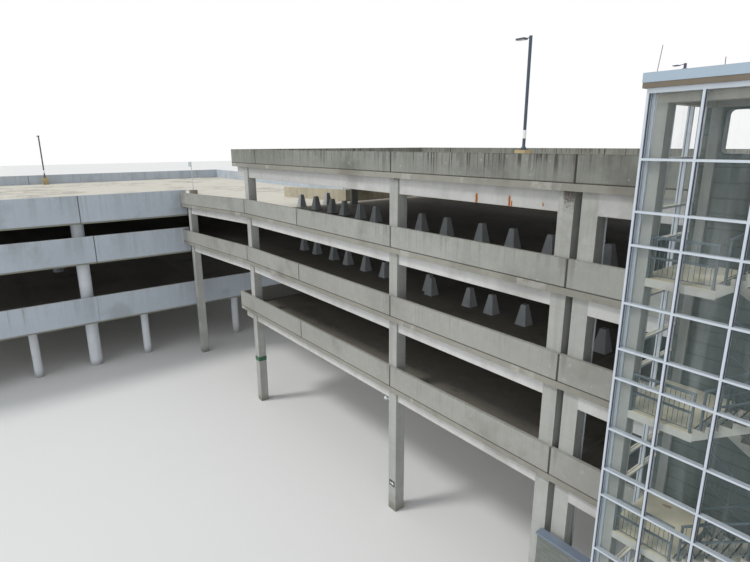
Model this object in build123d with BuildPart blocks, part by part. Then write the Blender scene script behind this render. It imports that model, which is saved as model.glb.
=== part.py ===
"""Multi storey car park, a 1:10 scale model, as an assembly of separate pieces.

Millimetres, +Z up, ground at Z = 0.  The plan's middle is the origin.  +X runs along the main
wing towards the glazed stair tower, +Y runs from the main wing's front into the building.
"""

import os
from math import cos, radians

from build123d import *

os.makedirs("parts", exist_ok=True)

# Plan of the main wing, measured from its middle parapet joint and its front face
wing_depth = 1900
roof_west_end = -1846
corner_x = -3118
knee_x = -1679
expansion_x = 958
east_end = 2079
roof_joint_x = -1449
west_joint_x = -912
joint_gap = 2
deck_joint = 0.3

# Plan of the side wing, which runs forward from the corner
side_depth = 3880
side_front_y = -2746
side_bay = 919
side_column_y = -864

# Deck levels, top of each slab above the ground
deck_1 = 752
deck_2 = 1139
deck_3 = 1492
roof_deck = 1851
link_drop = 52
side_deck_1 = 547
slab = 25

# Parapets of the main wing
parapet_thick = 16
parapet_height_1 = 116
parapet_height_2 = 108
parapet_height_3 = 105
parapet_height_roof = 96
drip_chamfer = 3

# Inner wall on the third deck of the link bay, and the post that stands before it
inner_wall_west_gap = 20
inner_wall_front = 1092
inner_wall_corner = -1955
inner_post_west = -1708
inner_post_front = 968
inner_post_width = 27
inner_post_depth = 60

# Columns and beams of the main wing
column_size = 60
west_pier_gap = 2
east_pier_gap = 22
beam_thick = 32
beam_recess = 10
end_beam_recess = 0
beam_depth = 57
roof_beam_depth = 75
beam_stub_inset = 40
cross_beam_thick = 40
link_beam_start = 142

# Bands, columns and beams of the side wing
band_height = 243
band_upstand = 127
band_thick = 22
band_foot_height = 15
band_foot_set_back = 6
band_joint_lead_1 = 52
band_joint_lead_2 = 94
band_joint_lead_3 = 13
band_end_y = 61
round_column_diameter = 104
slim_column_diameter = 68
round_column_set_back = 92
side_beam_thick = 50
side_beam_depth = 70

# Tapered concrete blocks, set down by hand in a slightly slanting row on two decks
block_base = 60
block_top = 26
block_height = 100
block_row_x = 493
block_row_y = 428
block_row_slant = 0.055
block_xs_2 = [905, 493, 285, 127, -648, -871, -1101, -1303, -1567, -1782]
block_xs_3 = [890, 610, 394, 192, -69, -283, -515, -748, -932, -1140, -1311, -1558, -1804]

# Blocks that stand off the row, as plan X and plan Y
loose_blocks_2 = [(-158, 440), (-222, 484)]
loose_blocks_3 = [(-1800, 800)]

# Glazed stair tower in front of the main wing
tower_west = 1329
tower_front = 342
tower_bays = 6
tower_bay = 120
tower_side_bays = 3
mullion_face = 5.5
mullion_depth = 8
cap_depth = 4
glass_thick = 2.4
pane_drop_1 = 122
pane_drop_2 = 203
tower_head_top = 2101
tower_head_height = 11
roof_band_height = 12
roof_band_overhang = 8
fascia_height = 21
fascia_overhang = 9
front_column_width = 26
front_column_depth = 36
front_column_inset = 15
rear_column_width = 24
rear_column_depth = 40
rear_column_inset = 31
rear_column_gap = 12
head_beam_depth = 32
back_wall_thick = 28

# Stair inside the tower
landing_thick = 20
west_landing_end = 1525
flight_run = 256
flight_width = 120
stair_side_clearance = 6
half_landing_drop = 9
riser_target = 17.6
waist_thick = 14
step_gap = 0.2

# Railings
rail_diameter = 5
rail_height = 100
rail_mid_height = 52
rail_inset = 6
post_pitch = 80

# Openings in the tower's back wall
door_width = 110
door_height = 225
door_west = 1830
window_west = 1388
window_width = 328
window_sill = 100
window_height = 115
window_corner = 16

# Masonry wall between the main wing's end bay and the tower
low_wall_front = 36
low_wall_thick = 30
low_wall_height = 501
coping_thick = 8
coping_overhang = 5

# Lamps on the roof and at the far side of the top side deck
lamp_x = 109
lamp_y = 850
far_lamp_x = -6881
far_lamp_y = -659
pedestal_size = 66
pedestal_height = 96
pole_diameter = 17
lamp_top = 2522
far_lamp_top = 2110
arm_length = 31
arm_diameter = 5
lamp_head_length = 53
lamp_head_width = 34
lamp_head_thick = 9

# Bare guide post on the top side deck, near the corner
guide_post_x = -4080
guide_post_y = 464
guide_base_diameter = 90
guide_base_height = 42
guide_post_diameter = 8
guide_post_height = 358
guide_sign_width = 75
guide_sign_height = 50
guide_sign_drop = 8

# Small fittings on the columns, and the thickness of every sign plate
camera_arm_length = 60
camera_arm_diameter = 5
camera_dome_diameter = 22
camera_height = 640
sign_thick = 2
arrow_sign_width = 44
arrow_sign_height = 34
arrow_sign_z = 150
wrap_sign_height = 34
wrap_sign_z = 340

# Levels and lines worked out from the sizes above
side_deck_2 = deck_2 - link_drop
side_deck_3 = deck_3 - link_drop
rear_y = wing_depth
side_west = corner_x - side_depth
centre_x = (side_west + east_end) / 2
centre_y = (side_front_y + rear_y) / 2
tower_east = tower_west + tower_bays * tower_bay
half_column = column_size / 2
column_front = parapet_thick
column_back = column_front + column_size
beam_front = column_front + beam_recess
beam_back = beam_front + beam_thick

# Column lines along the main wing
column_line_1 = -2930
column_line_2 = knee_x + half_column
column_line_3 = 5
column_line_4 = expansion_x - joint_gap - column_size / 2 - west_pier_gap
column_line_5 = expansion_x + joint_gap + column_size / 2 + east_pier_gap
column_line_6 = east_end - parapet_thick - column_size / 2


def place_x(x):
    """A plan X, with the origin moved to the middle of the plan."""
    return x - centre_x


def place_y(y):
    """A plan Y, with the origin moved to the middle of the plan."""
    return y - centre_y


def block(x, y, z):
    """A straight block between low and high plan X, plan Y and height."""
    with BuildSketch(Plane.XY.offset(z[0])) as outline:
        with Locations((place_x(sum(x) / 2), place_y(sum(y) / 2))):
            Rectangle(x[1] - x[0], y[1] - y[0])
    extrude(outline.sketch, amount=z[1] - z[0])


def across(points, y):
    """A prism whose outline is given in plan X and height, from low to high plan Y."""
    with BuildSketch(Plane.XZ.offset(-place_y(y[1]))) as outline:
        with BuildLine():
            Polyline(*[(place_x(px), pz) for px, pz in points], close=True)
        make_face()
    extrude(outline.sketch, amount=y[1] - y[0])


def along(points, x):
    """A prism whose outline is given in plan Y and height, from low to high plan X."""
    with BuildSketch(Plane.YZ.offset(place_x(x[0]))) as outline:
        with BuildLine():
            Polyline(*[(place_y(py), pz) for py, pz in points], close=True)
        make_face()
    extrude(outline.sketch, amount=x[1] - x[0])


def posts(places, size, z):
    """Square posts at a list of plan places."""
    with BuildSketch(Plane.XY.offset(z[0])) as outline:
        with Locations(*[(place_x(px), place_y(py)) for px, py in places]):
            Rectangle(size, size)
    extrude(outline.sketch, amount=z[1] - z[0])


def round_posts(places, diameter, z):
    """Round posts at a list of plan places."""
    with BuildSketch(Plane.XY.offset(z[0])) as outline:
        with Locations(*[(place_x(px), place_y(py)) for px, py in places]):
            Circle(diameter / 2)
    extrude(outline.sketch, amount=z[1] - z[0])


def save(piece, name):
    """Label a finished piece and write it."""
    piece.part.label = name
    export_step(piece.part, "parts/" + name + ".step")


def fall(x):
    """How far the two linked decks have come down at a plan X west of the knee."""
    return link_drop * max(0, (knee_x - x) / (knee_x - corner_x))


def parapet_section(outer, inward, low, height):
    """A parapet's outline in one horizontal direction and height, chamfered at its outer foot."""
    inner = outer + inward * parapet_thick
    return [
        (outer + inward * drip_chamfer, low),
        (inner, low),
        (inner, low + height),
        (outer, low + height),
        (outer, low + drip_chamfer),
    ]


def long_parapets(outer, inward, spans, low, height):
    """Parapet panels along X, one for each span, with an open joint between neighbours."""
    for west, east in spans:
        along(parapet_section(outer, inward, low, height), (west, east))


def end_parapet(outer, inward, y, low, height):
    """A parapet panel along Y."""
    across(parapet_section(outer, inward, low, height), y)


def link_parapet(y, x, low, height):
    """A parapet panel along X that follows the fall of the link bay."""
    west, east = x
    across(
        [
            (west, low - fall(west)),
            (east, low - fall(east)),
            (east, low + height - fall(east)),
            (west, low + height - fall(west)),
        ],
        y,
    )


def panel_spans(edges):
    """Panels between a row of joint lines, each half a joint short at its inner ends."""
    half = joint_gap / 2
    last = len(edges) - 2
    return [
        (edges[i] + (half if i > 0 else 0), edges[i + 1] - (half if i < last else 0))
        for i in range(len(edges) - 1)
    ]


main_edges = [west_joint_x, 0, expansion_x]
front_ends = parapet_thick + joint_gap
side_rows = [
    corner_x - round_column_set_back - round_column_diameter / 2,
    corner_x - side_depth / 2,
    side_west + round_column_set_back + round_column_diameter / 2,
]

# Decks of the main wing: the first deck and the roof stop at the open west end
with BuildPart() as main_deck_1:
    block((roof_west_end, expansion_x), (0, rear_y), (deck_1 - slab, deck_1))
    block((expansion_x + deck_joint, east_end), (0, rear_y), (deck_1 - slab, deck_1))
save(main_deck_1, "main_deck_1")

with BuildPart() as main_roof_deck:
    block((roof_west_end, expansion_x), (0, rear_y), (roof_deck - slab, roof_deck))
    block((expansion_x + deck_joint, east_end), (0, rear_y), (roof_deck - slab, roof_deck))
save(main_roof_deck, "main_roof_deck")


def linked_deck(level):
    """A deck that falls gently through the link bay to meet the side wing's deck."""
    west = corner_x + deck_joint
    top = [(west, level - fall(west)), (knee_x, level), (expansion_x, level)]
    under = [(px, pz - slab) for px, pz in reversed(top)]
    across(top + under, (0, rear_y))
    block((expansion_x + deck_joint, east_end), (0, rear_y), (level - slab, level))


with BuildPart() as main_deck_2:
    linked_deck(deck_2)
save(main_deck_2, "main_deck_2")

with BuildPart() as main_deck_3:
    linked_deck(deck_3)
save(main_deck_3, "main_deck_3")


def tower_door_spans(level_open):
    """Front parapet spans of the end bay, left open at the stair door where there is one."""
    west = expansion_x + joint_gap
    if level_open:
        return [(west, door_west), (door_west + door_width, east_end)]
    return [(west, east_end)]


def open_end_parapets(level, height, joints):
    """All parapets of a deck that stops at the open west end, with its joints in the long run."""
    edges = panel_spans([roof_west_end] + joints + [0, expansion_x])
    long_parapets(0, 1, edges, level, height)
    long_parapets(0, 1, tower_door_spans(True), level, height)
    long_parapets(rear_y, -1, edges, level, height)
    long_parapets(rear_y, -1, tower_door_spans(False), level, height)
    between = (front_ends, rear_y - front_ends)
    end_parapet(roof_west_end, 1, between, level, height)
    end_parapet(east_end, -1, between, level, height)


def linked_parapets(level, height):
    """All parapets of a deck that runs on through the link bay."""
    west = corner_x + joint_gap
    edges = panel_spans(main_edges)
    flat_west = (knee_x + joint_gap, west_joint_x - joint_gap / 2)
    for outer, inward in ((0, 1), (rear_y, -1)):
        low_y, high_y = sorted((outer, outer + inward * parapet_thick))
        link_parapet((low_y, high_y), (west, knee_x), level, height)
        long_parapets(outer, inward, [flat_west] + edges, level, height)
        long_parapets(outer, inward, tower_door_spans(outer == 0), level, height)
    end_parapet(east_end, -1, (front_ends, rear_y - front_ends), level, height)


with BuildPart() as parapets_1:
    open_end_parapets(deck_1, parapet_height_1, [west_joint_x])
save(parapets_1, "parapets_1")

with BuildPart() as parapets_2:
    linked_parapets(deck_2, parapet_height_2)
save(parapets_2, "parapets_2")

with BuildPart() as parapets_3:
    linked_parapets(deck_3, parapet_height_3)
save(parapets_3, "parapets_3")

# Inner wall on the third deck: one leg along the link bay, and one back to the rear parapet
with BuildPart() as deck_3_inner_wall:
    inner_wall_back = inner_wall_front + parapet_thick
    link_parapet(
        (inner_wall_front, inner_wall_back),
        (corner_x + inner_wall_west_gap, inner_wall_corner),
        deck_3,
        parapet_height_3,
    )
    link_parapet(
        (inner_wall_back + joint_gap, rear_y - parapet_thick),
        (inner_wall_corner - parapet_thick, inner_wall_corner),
        deck_3,
        parapet_height_3,
    )
save(deck_3_inner_wall, "deck_3_inner_wall")

with BuildPart() as parapets_roof:
    open_end_parapets(roof_deck, parapet_height_roof, [roof_joint_x])
save(parapets_roof, "parapets_roof")

# Edge beams under the slab's edge, set back from the column faces
full_lines = [column_line_2, column_line_3, column_line_4]
end_lines = [column_line_5, column_line_6]


def between_columns(lines):
    """The clear spans between neighbouring columns on a list of column lines."""
    return [(lines[i] + half_column, lines[i + 1] - half_column) for i in range(len(lines) - 1)]


def edge_beams(under, depth, spans, recess):
    """Front and rear edge beams below a slab, set back from the column faces."""
    near = column_front + recess
    far = near + beam_thick
    for west, east in spans:
        for front, back in ((near, far), (rear_y - far, rear_y - near)):
            block((west, east), (front, back), (under - depth, under))


def storey_beams(under, depth, stubs):
    """A storey's edge beams: set back along the wing, and level with the columns in the end bay."""
    edge_beams(under, depth, stubs + between_columns(full_lines), beam_recess)
    edge_beams(under, depth, between_columns(end_lines), end_beam_recess)


def link_edge_beams(level):
    """Edge beams that follow the fall of the link bay, each side of its own columns."""
    under = level - slab
    spans = [
        (corner_x + link_beam_start, column_line_1 - half_column),
        (column_line_1 + half_column, column_line_2 - half_column),
    ]
    for west, east in spans:
        outline = [
            (west, under - fall(west) - beam_depth),
            (east, under - fall(east) - beam_depth),
            (east, under - fall(east)),
            (west, under - fall(west)),
        ]
        across(outline, (beam_front, beam_back))
        across(outline, (rear_y - beam_back, rear_y - beam_front))


west_stub = [(roof_west_end + beam_stub_inset, column_line_2 - half_column)]


# Cross beams that span from front to rear at each column line
def cross_beams(lines, under, depth):
    """Cross beams between the front and rear columns, below a slab."""
    for line in lines:
        low = under - fall(line) - fall_over_beam(line)
        block(
            (line - cross_beam_thick / 2, line + cross_beam_thick / 2),
            (column_back, rear_y - column_back),
            (low - depth, low),
        )


def fall_over_beam(line):
    """What the link bay falls from a cross beam's middle to its west edge."""
    return fall(line - cross_beam_thick / 2) - fall(line)


open_lines = full_lines + end_lines
linked_lines = [column_line_1] + open_lines

with BuildPart() as beams_1:
    storey_beams(deck_1 - slab, beam_depth, west_stub)
    cross_beams(open_lines, deck_1 - slab, beam_depth)
save(beams_1, "beams_1")

with BuildPart() as beams_2:
    storey_beams(deck_2 - slab, beam_depth, [])
    link_edge_beams(deck_2)
    cross_beams(linked_lines, deck_2 - slab, beam_depth)
save(beams_2, "beams_2")

with BuildPart() as beams_3:
    storey_beams(deck_3 - slab, beam_depth, [])
    link_edge_beams(deck_3)
    cross_beams(linked_lines, deck_3 - slab, beam_depth)
save(beams_3, "beams_3")

with BuildPart() as beams_roof:
    storey_beams(roof_deck - slab, roof_beam_depth, west_stub)
    cross_beams(open_lines, roof_deck - slab, roof_beam_depth)
save(beams_roof, "beams_roof")


# Columns of the main wing, storey by storey
def column_row(lines, low, high):
    """Front and rear columns at each line, from a floor to the slab above."""
    middle = column_front + half_column
    places = [(line, y) for line in lines for y in (middle, rear_y - middle)]
    posts(places, column_size, (low, high))


def link_columns(low, high):
    """The link bay's own columns, cut to the falling decks that they stand between."""
    for front, back in ((column_front, column_back), (rear_y - column_back, rear_y - column_front)):
        west = column_line_1 - half_column
        east = column_line_1 + half_column
        foot = [(west, low(west)), (east, low(east))]
        head = [(east, high(east)), (west, high(west))]
        across(foot + head, (front, back))


def inner_post():
    """The single post before the inner wall, from the third deck to the roof deck's underside."""
    west = inner_post_west
    east = inner_post_west + inner_post_width
    foot = [(west, deck_3 - fall(west)), (east, deck_3 - fall(east))]
    head = [(east, roof_deck - slab), (west, roof_deck - slab)]
    across(foot + head, (inner_post_front, inner_post_front + inner_post_depth))


with BuildPart() as columns_ground:
    column_row(open_lines, 0, deck_1 - slab)
    link_columns(lambda x: 0, lambda x: deck_2 - slab - fall(x))
save(columns_ground, "columns_ground")

with BuildPart() as columns_upper:
    column_row(open_lines, deck_1, deck_2 - slab)
    column_row(open_lines, deck_2, deck_3 - slab)
    column_row(open_lines, deck_3, roof_deck - slab)
    link_columns(lambda x: deck_2 - fall(x), lambda x: deck_3 - slab - fall(x))
    inner_post()
save(columns_upper, "columns_upper")


# Pyramid shaped blocks, one row on each of two decks and a few beside it
def row_places(block_xs):
    """Plan places along the slanting row."""
    return [(x, block_row_y + block_row_slant * (block_row_x - x)) for x in block_xs]


def barrier_blocks(places, level):
    """Square blocks that taper upwards, at a list of plan places."""
    slope = Vector((block_base - block_top) / 2, block_height).get_angle(Vector(0, 1))
    for x, y in places:
        with BuildSketch(Plane.XY.offset(level - fall(x + block_base / 2))) as foot:
            with Locations((place_x(x), place_y(y))):
                Rectangle(block_base, block_base)
        extrude(foot.sketch, amount=block_height, taper=slope)


with BuildPart() as barriers:
    barrier_blocks(row_places(block_xs_2) + loose_blocks_2, deck_2)
    barrier_blocks(row_places(block_xs_3) + loose_blocks_3, deck_3)
save(barriers, "barrier_blocks")

# Side wing decks, each inside its ring of bands
side_inner = (side_west + band_thick, corner_x - band_thick)
side_span = (side_front_y + band_thick, rear_y - band_thick)


def linked_side_deck(level):
    """A side deck that reaches the corner line where the main wing's deck meets it."""
    low_z = level - slab
    block(side_inner, side_span, (low_z, level))
    block((side_inner[1], corner_x), (band_end_y + joint_gap, side_span[1]), (low_z, level))


with BuildPart() as side_decks:
    block(side_inner, side_span, (side_deck_1 - slab, side_deck_1))
    linked_side_deck(side_deck_2)
    linked_side_deck(side_deck_3)
save(side_decks, "side_decks")


def band_section(outer, inward, top):
    """A band's outline in one horizontal direction and height, with a sloping foot."""
    low = top - band_height
    inner = outer + inward * band_thick
    return [
        (outer + inward * band_foot_set_back, low),
        (inner, low),
        (inner, top),
        (outer, top),
        (outer, low + band_foot_height),
    ]


def side_bands(level, east_band_end, joint_lead):
    """Solid bands round three sides, and along the east face as far as it is open."""
    top = level + band_upstand
    joint_line = side_column_y + joint_lead
    south_lines = [side_front_y, joint_line - side_bay, joint_line]
    north_lines = [joint_line + side_bay, joint_line + 2 * side_bay, rear_y]
    for south, north in panel_spans(south_lines + [east_band_end]):
        across(band_section(corner_x, -1, top), (south, north))
    for south, north in panel_spans(south_lines + north_lines):
        across(band_section(side_west, 1, top), (south, north))
    for west, east in panel_spans([side_inner[0], corner_x - side_depth / 2, side_inner[1]]):
        for outer, inward in ((side_front_y, 1), (rear_y, -1)):
            along(band_section(outer, inward, top), (west + joint_gap, east - joint_gap))


with BuildPart() as side_bands_low:
    side_bands(side_deck_1, rear_y, band_joint_lead_1)
save(side_bands_low, "side_bands_1")

with BuildPart() as side_bands_mid:
    side_bands(side_deck_2, band_end_y, band_joint_lead_2)
save(side_bands_mid, "side_bands_2")

with BuildPart() as side_bands_top:
    side_bands(side_deck_3, band_end_y, band_joint_lead_3)
save(side_bands_top, "side_bands_3")

# Round columns of the side wing, and slimmer ones between them on the ground
full_ys = [side_column_y - side_bay, side_column_y, side_column_y + 2 * side_bay]
slim_ys = [side_column_y + side_bay / 2 + side_bay * i for i in (-1, 0, 1, 2)]
round_places = [(x, y) for x in side_rows for y in full_ys]
slim_places = [(x, y) for x in side_rows for y in slim_ys]

with BuildPart() as round_columns:
    round_posts(round_places, round_column_diameter, (0, side_deck_1 - slab - side_beam_depth))
    for floor, ceiling in ((side_deck_1, side_deck_2), (side_deck_2, side_deck_3)):
        round_posts(round_places, round_column_diameter, (floor, ceiling - slab - side_beam_depth))
save(round_columns, "round_columns")

with BuildPart() as slim_columns:
    round_posts(slim_places, slim_column_diameter, (0, side_deck_1 - slab))
save(slim_columns, "slim_columns")


def side_cross_beams(level):
    """Cross beams under a side deck at each row of round columns."""
    under = level - slab
    for y in full_ys:
        block(
            side_inner,
            (y - side_beam_thick / 2, y + side_beam_thick / 2),
            (under - side_beam_depth, under),
        )


with BuildPart() as side_beams:
    for deck in (side_deck_1, side_deck_2, side_deck_3):
        side_cross_beams(deck)
save(side_beams, "side_beams")

# Tower glazing: an outer grid of caps and an inner grid of mullions hold one sheet of glass a side
cap_front = -tower_front
glass_front = cap_front + cap_depth
glass_back = glass_front + glass_thick
mullion_back = glass_back + mullion_depth
tower_rear = -rear_column_gap
parapet_tops = [
    roof_deck + parapet_height_roof,
    deck_3 + parapet_height_3,
    deck_2 + parapet_height_2,
    deck_1 + parapet_height_1,
]
storey = deck_3 + parapet_height_3 - deck_2 - parapet_height_2
parapet_tops = parapet_tops + [parapet_tops[3] - storey, parapet_tops[3] - 2 * storey]
rail_lines = [top - drop for top in parapet_tops for drop in (0, pane_drop_1, pane_drop_2)]
rail_lines = [z for z in rail_lines if z > mullion_face]


def grid_bars(ends, bays):
    """One side's grid in a sketch: uprights, a sill, a head and the rails between them."""
    low, high = ends
    middle = (low + high) / 2
    inset = mullion_face / 2
    uprights = [low + inset, high - inset] + [low + (high - low) * i / bays for i in range(1, bays)]
    with Locations(*[(u, tower_head_top / 2) for u in uprights]):
        Rectangle(mullion_face, tower_head_top)
    with Locations(*[(middle, z - inset) for z in rail_lines + [mullion_face]]):
        Rectangle(high - low, mullion_face)
    with Locations((middle, tower_head_top - tower_head_height / 2)):
        Rectangle(high - low, tower_head_height)


def front_grid(y):
    """The grid across the tower's front, from low to high plan Y."""
    with BuildSketch(Plane.XZ.offset(-place_y(y[1]))) as bars:
        grid_bars((place_x(tower_west), place_x(tower_east)), tower_bays)
    extrude(bars.sketch, amount=y[1] - y[0])


def side_grid(x, y):
    """The grid down one side of the tower, between low and high plan X and plan Y."""
    with BuildSketch(Plane.YZ.offset(place_x(x[0]))) as bars:
        grid_bars((place_y(y[0]), place_y(y[1])), tower_side_bays)
    extrude(bars.sketch, amount=x[1] - x[0])


side_run = (mullion_back + joint_gap / 2, tower_rear)
inner_gap = glass_thick + mullion_depth

with BuildPart() as tower_frame_front:
    front_grid((cap_front, glass_front))
    front_grid((glass_back, mullion_back))
save(tower_frame_front, "tower_frame_front")

west_skin = tower_west + cap_depth
east_skin = tower_east - cap_depth

with BuildPart() as tower_frame_sides:
    side_grid((tower_west, west_skin), side_run)
    side_grid((west_skin + glass_thick, west_skin + inner_gap), side_run)
    side_grid((east_skin, tower_east), side_run)
    side_grid((east_skin - inner_gap, east_skin - glass_thick), side_run)
save(tower_frame_sides, "tower_frame_sides")

with BuildPart() as tower_glass:
    block((tower_west, tower_east), (glass_front, glass_back), (0, tower_head_top))
    block((west_skin, west_skin + glass_thick), side_run, (0, tower_head_top))
    block((east_skin - glass_thick, east_skin), side_run, (0, tower_head_top))
save(tower_glass, "tower_glass")

# Concrete columns inside the glass, with a ring of beams on them that carries the roof
stair_front = mullion_back + stair_side_clearance
front_column_back = stair_front + front_column_depth
rear_column_south = tower_rear - rear_column_depth
head_low_z = tower_head_top - head_beam_depth


def both_ends(inset, width):
    """Plan X spans of a width, at the same inset from the tower's west and east sides."""
    west = tower_west + inset
    east = tower_east - inset
    return [(west, west + width), (east - width, east)]


front_columns = both_ends(front_column_inset, front_column_width)
rear_columns = both_ends(rear_column_inset, rear_column_width)
ring_hole = (front_columns[0][1], front_columns[1][0])

with BuildPart() as tower_columns:
    for span in front_columns:
        block(span, (stair_front, front_column_back), (0, head_low_z))
    for span in rear_columns:
        block(span, (rear_column_south, tower_rear), (0, head_low_z))
save(tower_columns, "tower_columns")

with BuildPart() as tower_head_beam:
    for span in front_columns:
        block(span, (stair_front, tower_rear), (head_low_z, tower_head_top))
    for y in ((stair_front, front_column_back), (rear_column_south, tower_rear)):
        block(ring_hole, y, (head_low_z, tower_head_top))
save(tower_head_beam, "tower_head_beam")

main_decks = [deck_1, deck_2, deck_3, roof_deck]
wall_south = tower_rear - back_wall_thick
wall_spans = [
    (west_skin + inner_gap, rear_columns[0][0]),
    (rear_columns[0][1], rear_columns[1][0]),
    (rear_columns[1][1], east_skin - inner_gap),
]

with BuildPart() as tower_back_wall:
    for span in wall_spans:
        block(span, (wall_south, tower_rear), (0, head_low_z))
    door_x = place_x(door_west + door_width / 2)
    door_sills = [0] + [deck - landing_thick for deck in main_decks]
    door_heads = [door_height] + [deck + door_height for deck in main_decks]
    window_x = place_x(window_west + window_width / 2)
    window_z = roof_deck + window_sill + window_height / 2
    with BuildSketch(Plane.XZ.offset(-place_y(tower_rear))) as doors:
        for sill, head in zip(door_sills, door_heads):
            with Locations((door_x, (sill + head) / 2)):
                Rectangle(door_width, head - sill)
        with Locations((window_x, window_z)):
            RectangleRounded(window_width, window_height, window_corner)
    extrude(doors.sketch, amount=back_wall_thick, mode=Mode.SUBTRACT)
save(tower_back_wall, "tower_back_wall")

# Thresholds that carry the way through each upper door on to the deck behind
with BuildPart() as tower_thresholds:
    for deck in main_decks:
        block((door_west, door_west + door_width), (rear_column_south, 0), (deck - landing_thick, deck))
save(tower_thresholds, "tower_thresholds")

# Tower roof: a set back band below a metal fascia and lid
fascia_low = tower_head_top + roof_band_height

with BuildPart() as tower_roof_band:
    block(
        (tower_west - roof_band_overhang, tower_east + roof_band_overhang),
        (cap_front - roof_band_overhang, tower_rear),
        (tower_head_top, fascia_low),
    )
save(tower_roof_band, "tower_roof_band")

with BuildPart() as tower_fascia:
    block(
        (tower_west - fascia_overhang, tower_east + fascia_overhang),
        (cap_front - fascia_overhang, tower_rear),
        (fascia_low, fascia_low + fascia_height),
    )
save(tower_fascia, "tower_fascia")

# Stair: landings at both ends, straight flights between them
stair_back = wall_south
west_landing_start = west_skin + inner_gap + stair_side_clearance
east_landing_start = west_landing_end + flight_run
east_landing_end = east_skin - inner_gap - stair_side_clearance
floor_levels = [0, deck_1 / 2, deck_1, deck_2, deck_3, roof_deck]
stair_storeys = list(zip(floor_levels[:-1], floor_levels[1:]))
half_levels = [(low + high) / 2 - half_landing_drop for low, high in stair_storeys]

inner_run = (front_column_back, rear_column_south)
front_run = (stair_front, front_column_back)

with BuildPart() as tower_landings:
    for z in half_levels:
        slab_z = (z - landing_thick, z)
        block((west_landing_start, west_landing_end), inner_run, slab_z)
        block((front_columns[0][1], west_landing_end), front_run, slab_z)
    for z in floor_levels[1:]:
        slab_z = (z - landing_thick, z)
        block((east_landing_start, east_landing_end), inner_run, slab_z)
        block((east_landing_start, front_columns[1][0]), front_run, slab_z)
save(tower_landings, "tower_landings")


def risers(low, high):
    """How many equal risers climb from one landing to the next."""
    return round((high - low) / riser_target)


def flight_points(low, high, start, direction):
    """The roots of a flight's steps, as plan X and height, from its foot to its last riser."""
    count = risers(low, high)
    rise = (high - low) / count
    going = flight_run / (count - 1)
    return [(start + direction * going * i, low + rise * i) for i in range(count)]


def waist(low, high, start, direction, y):
    """The sloping slab under a flight's steps."""
    roots = flight_points(low, high, start, direction)
    foot = roots[0]
    head = roots[-1]
    slope = Vector(flight_run, head[1] - foot[1]).get_angle(Vector(1, 0))
    drop = waist_thick / cos(radians(slope))
    across([foot, head, (head[0], head[1] - drop), (foot[0], max(foot[1] - drop, 0))], y)


def steps(low, high, start, direction, y):
    """The wedge shaped steps on a flight's waist, a hair apart."""
    roots = flight_points(low, high, start, direction)
    rise = roots[1][1] - roots[0][1]
    going = flight_run / (len(roots) - 1)
    for px, pz in roots[:-1]:
        nose = px + direction * (going - step_gap)
        nose_low = pz + rise * (1 - step_gap / going)
        across([(px, pz), (nose, nose_low), (nose, pz + rise), (px, pz + rise)], y)


front_flight = (stair_front, stair_front + flight_width)
rear_flight = (stair_back - stair_side_clearance - flight_width, stair_back - stair_side_clearance)

with BuildPart() as stair_waists:
    for (low, high), half in zip(stair_storeys, half_levels):
        waist(low, half, east_landing_start, -1, rear_flight)
        waist(half, high, west_landing_end, 1, front_flight)
save(stair_waists, "stair_waists")

with BuildPart() as stair_steps:
    for (low, high), half in zip(stair_storeys, half_levels):
        steps(low, half, east_landing_start, -1, rear_flight)
        steps(half, high, west_landing_end, 1, front_flight)
save(stair_steps, "stair_steps")


# Pipe railings beside the flights and along the landing edges
def rail_bar(start, end, y):
    """A straight square bar of the rail's size between two points of plan X and height."""
    half = rail_diameter / 2
    (x0, z0), (x1, z1) = start, end
    across([(x0, z0 - half), (x1, z1 - half), (x1, z1 + half), (x0, z0 + half)], (y - half, y + half))


def flight_railing(low, high, start, direction, y):
    """Posts, a top rail and a middle rail that climb beside a flight."""
    roots = flight_points(low, high, start, direction)
    foot = roots[0]
    head = roots[-1]
    rise = roots[1][1] - roots[0][1]
    going = flight_run / (len(roots) - 1)
    for height in (rail_height, rail_mid_height):
        rail_bar(
            (foot[0] + direction * going / 2, foot[1] + rise + height),
            (head[0] - direction * going / 2, head[1] + height),
            y,
        )
    posts_at = [roots[0], roots[len(roots) // 2], roots[-2]]
    half = rail_diameter / 2
    for px, pz in posts_at:
        middle = px + direction * going / 2
        block((middle - half, middle + half), (y - half, y + half), (pz + rise, pz + rise + rail_height))


with BuildPart() as stair_railings:
    for (low, high), half in zip(stair_storeys, half_levels):
        flight_railing(low, half, east_landing_start, -1, rear_flight[0] + rail_inset)
        flight_railing(half, high, west_landing_end, 1, front_flight[0] + rail_inset)
        flight_railing(half, high, west_landing_end, 1, front_flight[1] - rail_inset)
save(stair_railings, "stair_railings")


def landing_railing(x, y, z):
    """A landing's railing along its front edge: posts, a top rail and a middle rail."""
    half = rail_diameter / 2
    count = round((x[1] - x[0]) / post_pitch) + 1
    step = (x[1] - x[0] - rail_diameter) / (count - 1)
    for i in range(count):
        middle = x[0] + half + i * step
        block((middle - half, middle + half), (y - half, y + half), (z, z + rail_height))
    for height in (rail_height, rail_mid_height):
        block(x, (y - half, y + half), (z + height - half, z + height + half))


railing_y = stair_front + rail_inset

with BuildPart() as landing_railings:
    for z in half_levels:
        landing_railing((front_columns[0][1], west_landing_end - rail_inset), railing_y, z)
    for z in floor_levels[1:]:
        landing_railing((east_landing_start + rail_inset, front_columns[1][0]), railing_y, z)
save(landing_railings, "landing_railings")

# Masonry wall at the foot of the end bay, with its metal coping
low_wall_east = tower_west - deck_joint
wall_back = low_wall_thick - low_wall_front

with BuildPart() as low_wall:
    block((expansion_x, low_wall_east), (-low_wall_front, wall_back), (0, low_wall_height))
save(low_wall, "low_wall")

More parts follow.
